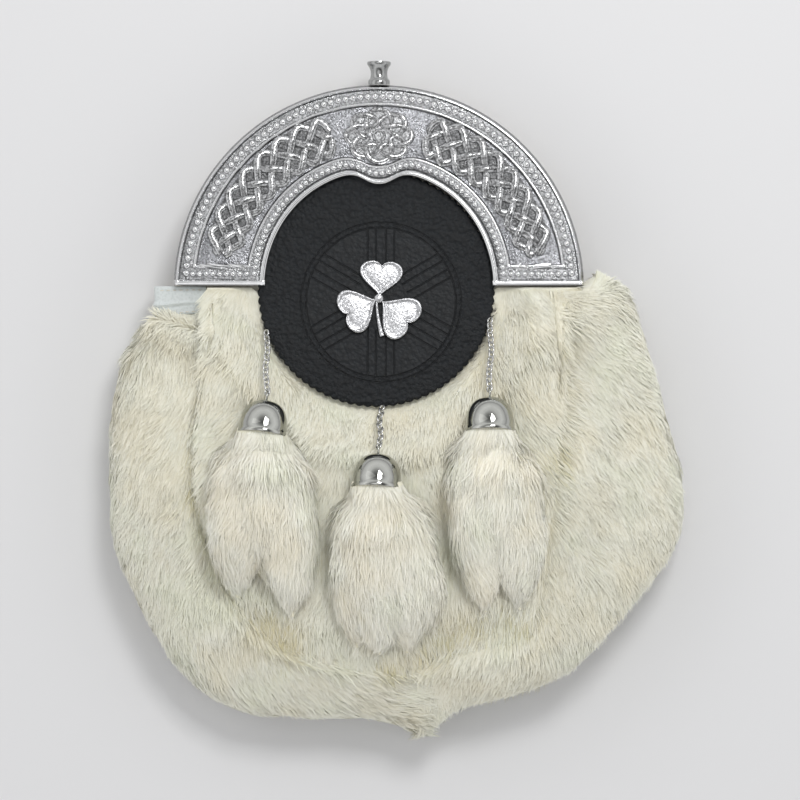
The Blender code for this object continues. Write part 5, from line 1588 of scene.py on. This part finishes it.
def makeTab(look):
    # a strip bent over the shoulder by a quarter circle, with a fold pinched across it
    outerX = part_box("shoulder_tab")[0][0] - archMiddle[0] + 0.0006
    innerX = outerX + look["length"]
    top = body["edgeHeight"] + 0.0003
    high = top + look["leather"]
    bend = look["bend"]
    quarter = np.linspace(np.pi / 2, np.pi, 12)
    outside = [stacked(np.linspace(innerX, outerX + bend, 30), high)]
    outside.append(stacked(outerX + bend + bend * np.cos(quarter), high - bend + bend * np.sin(quarter))[1:])
    hanging = stacked(np.linspace(outerX, outerX - 0.0006, 14), np.linspace(high - bend, high - look["drop"], 14))
    outside.append(hanging[1:])
    line = np.concatenate(outside)
    ahead = unit(np.gradient(line, axis=0))
    inward = stacked(ahead[:, 1], -ahead[:, 0])
    inward = inward * np.sign((inward[:1] * np.array([[0, -1.0]])).sum())
    share = np.linspace(0, 1, 46)
    towards = (line[:, 0] - outerX) / look["length"]
    low = -look["width"] + look["width"] * 0.16 * eased(towards * 1.3)
    y = low[:, None] + (0.0009 - low)[:, None] * share[None]
    fromFold = share - look["foldAt"]
    pinch = np.exp(-((fromFold / 0.06) ** 2)) - 0.6 * np.exp(-(((fromFold + 0.11) / 0.05) ** 2))
    soft = 0.0003 * softNoise(line[:, 0:1] + 0 * y, y, 0.005, 5)
    puff = 0.00055 * pinch[None] * eased(1 - towards * 0.8)[:, None] + soft
    skins = []
    edge = np.minimum(share, 1 - share)
    rounding = 0.0005 * (1 - eased(edge / 0.05))
    for depth, way in ((0.0, 1), (look["leather"] - 0.0003, -1)):
        inset = (depth + way * rounding)[None] - (puff if way > 0 else 0.6 * puff)
        x, z = (line[:, None, k] + inward[:, None, k] * inset for k in (0, 1))
        skins.append(stacked(x, y, z))
    ring = np.concatenate([skins[0], skins[1][:, ::-1]], 1)
    sheet = facedOut(gridShape(ring, loopColumns=True, capRows=True))
    rows = []
    for at in (0.10, 0.88):
        column = int(at * (len(share) - 1))
        path = skins[0][2:34, column] + np.array([0, 0, 0.00002])
        rows.append(stitchesAlong(path, (0, 0, 1.0), 0.0024, 0.0015, 0.00022))
    shape = together([sheet] + rows)
    materialOf = np.zeros(len(shape["faces"]))
    materialOf[len(sheet["faces"]):] = 1
    addPiece("shoulderTab", shape, [leatherTab, threadCream], ["shoulder_tab"], materialOf=materialOf)


makeTab(tab)


def makeStrap():
    # a flat strap with rounded edges and two rows of stitches on the side that shows
    low, high = (np.array(corner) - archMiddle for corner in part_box("hanging_strap"))
    x = np.linspace(low[0], high[0], 60)
    angle = np.linspace(0, turn, 32, endpoint=False)
    halfY, halfZ = (high[1] - low[1]) / 2, (high[2] - low[2]) / 2
    middle = (low + high) / 2
    wide = halfY - halfZ
    y = middle[1] + np.sign(np.cos(angle)) * wide + halfZ * np.cos(angle)
    z = middle[2] + halfZ * np.sin(angle)
    strap = facedOut(gridShape(stacked(x[:, None], y[None], z[None]), loopColumns=True, capRows=True))
    rows = []
    for side in (-1, 1):
        line = stacked(x[1:-1], middle[1] + side * (halfY - 0.0025), low[2] + 0.00002)
        rows.append(stitchesAlong(line, (0, 0, -1.0), 0.0030, 0.0019, 0.00014))
    shape = together([strap] + rows)
    shape["points"][:, 2] = np.maximum(shape["points"][:, 2], 0.0)
    materialOf = np.zeros(len(shape["faces"]))
    materialOf[len(strap["faces"]):] = 1
    materials = [leatherCream, threadCream]
    addPiece("hangingStrap", shape, materials, ["hanging_strap"], materialOf=materialOf)


makeStrap()

for node in ("back_panel", "gusset", "front_panel"):
    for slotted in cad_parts[node].material_slots:
        slotted.material = leatherCream
print("leather is on")
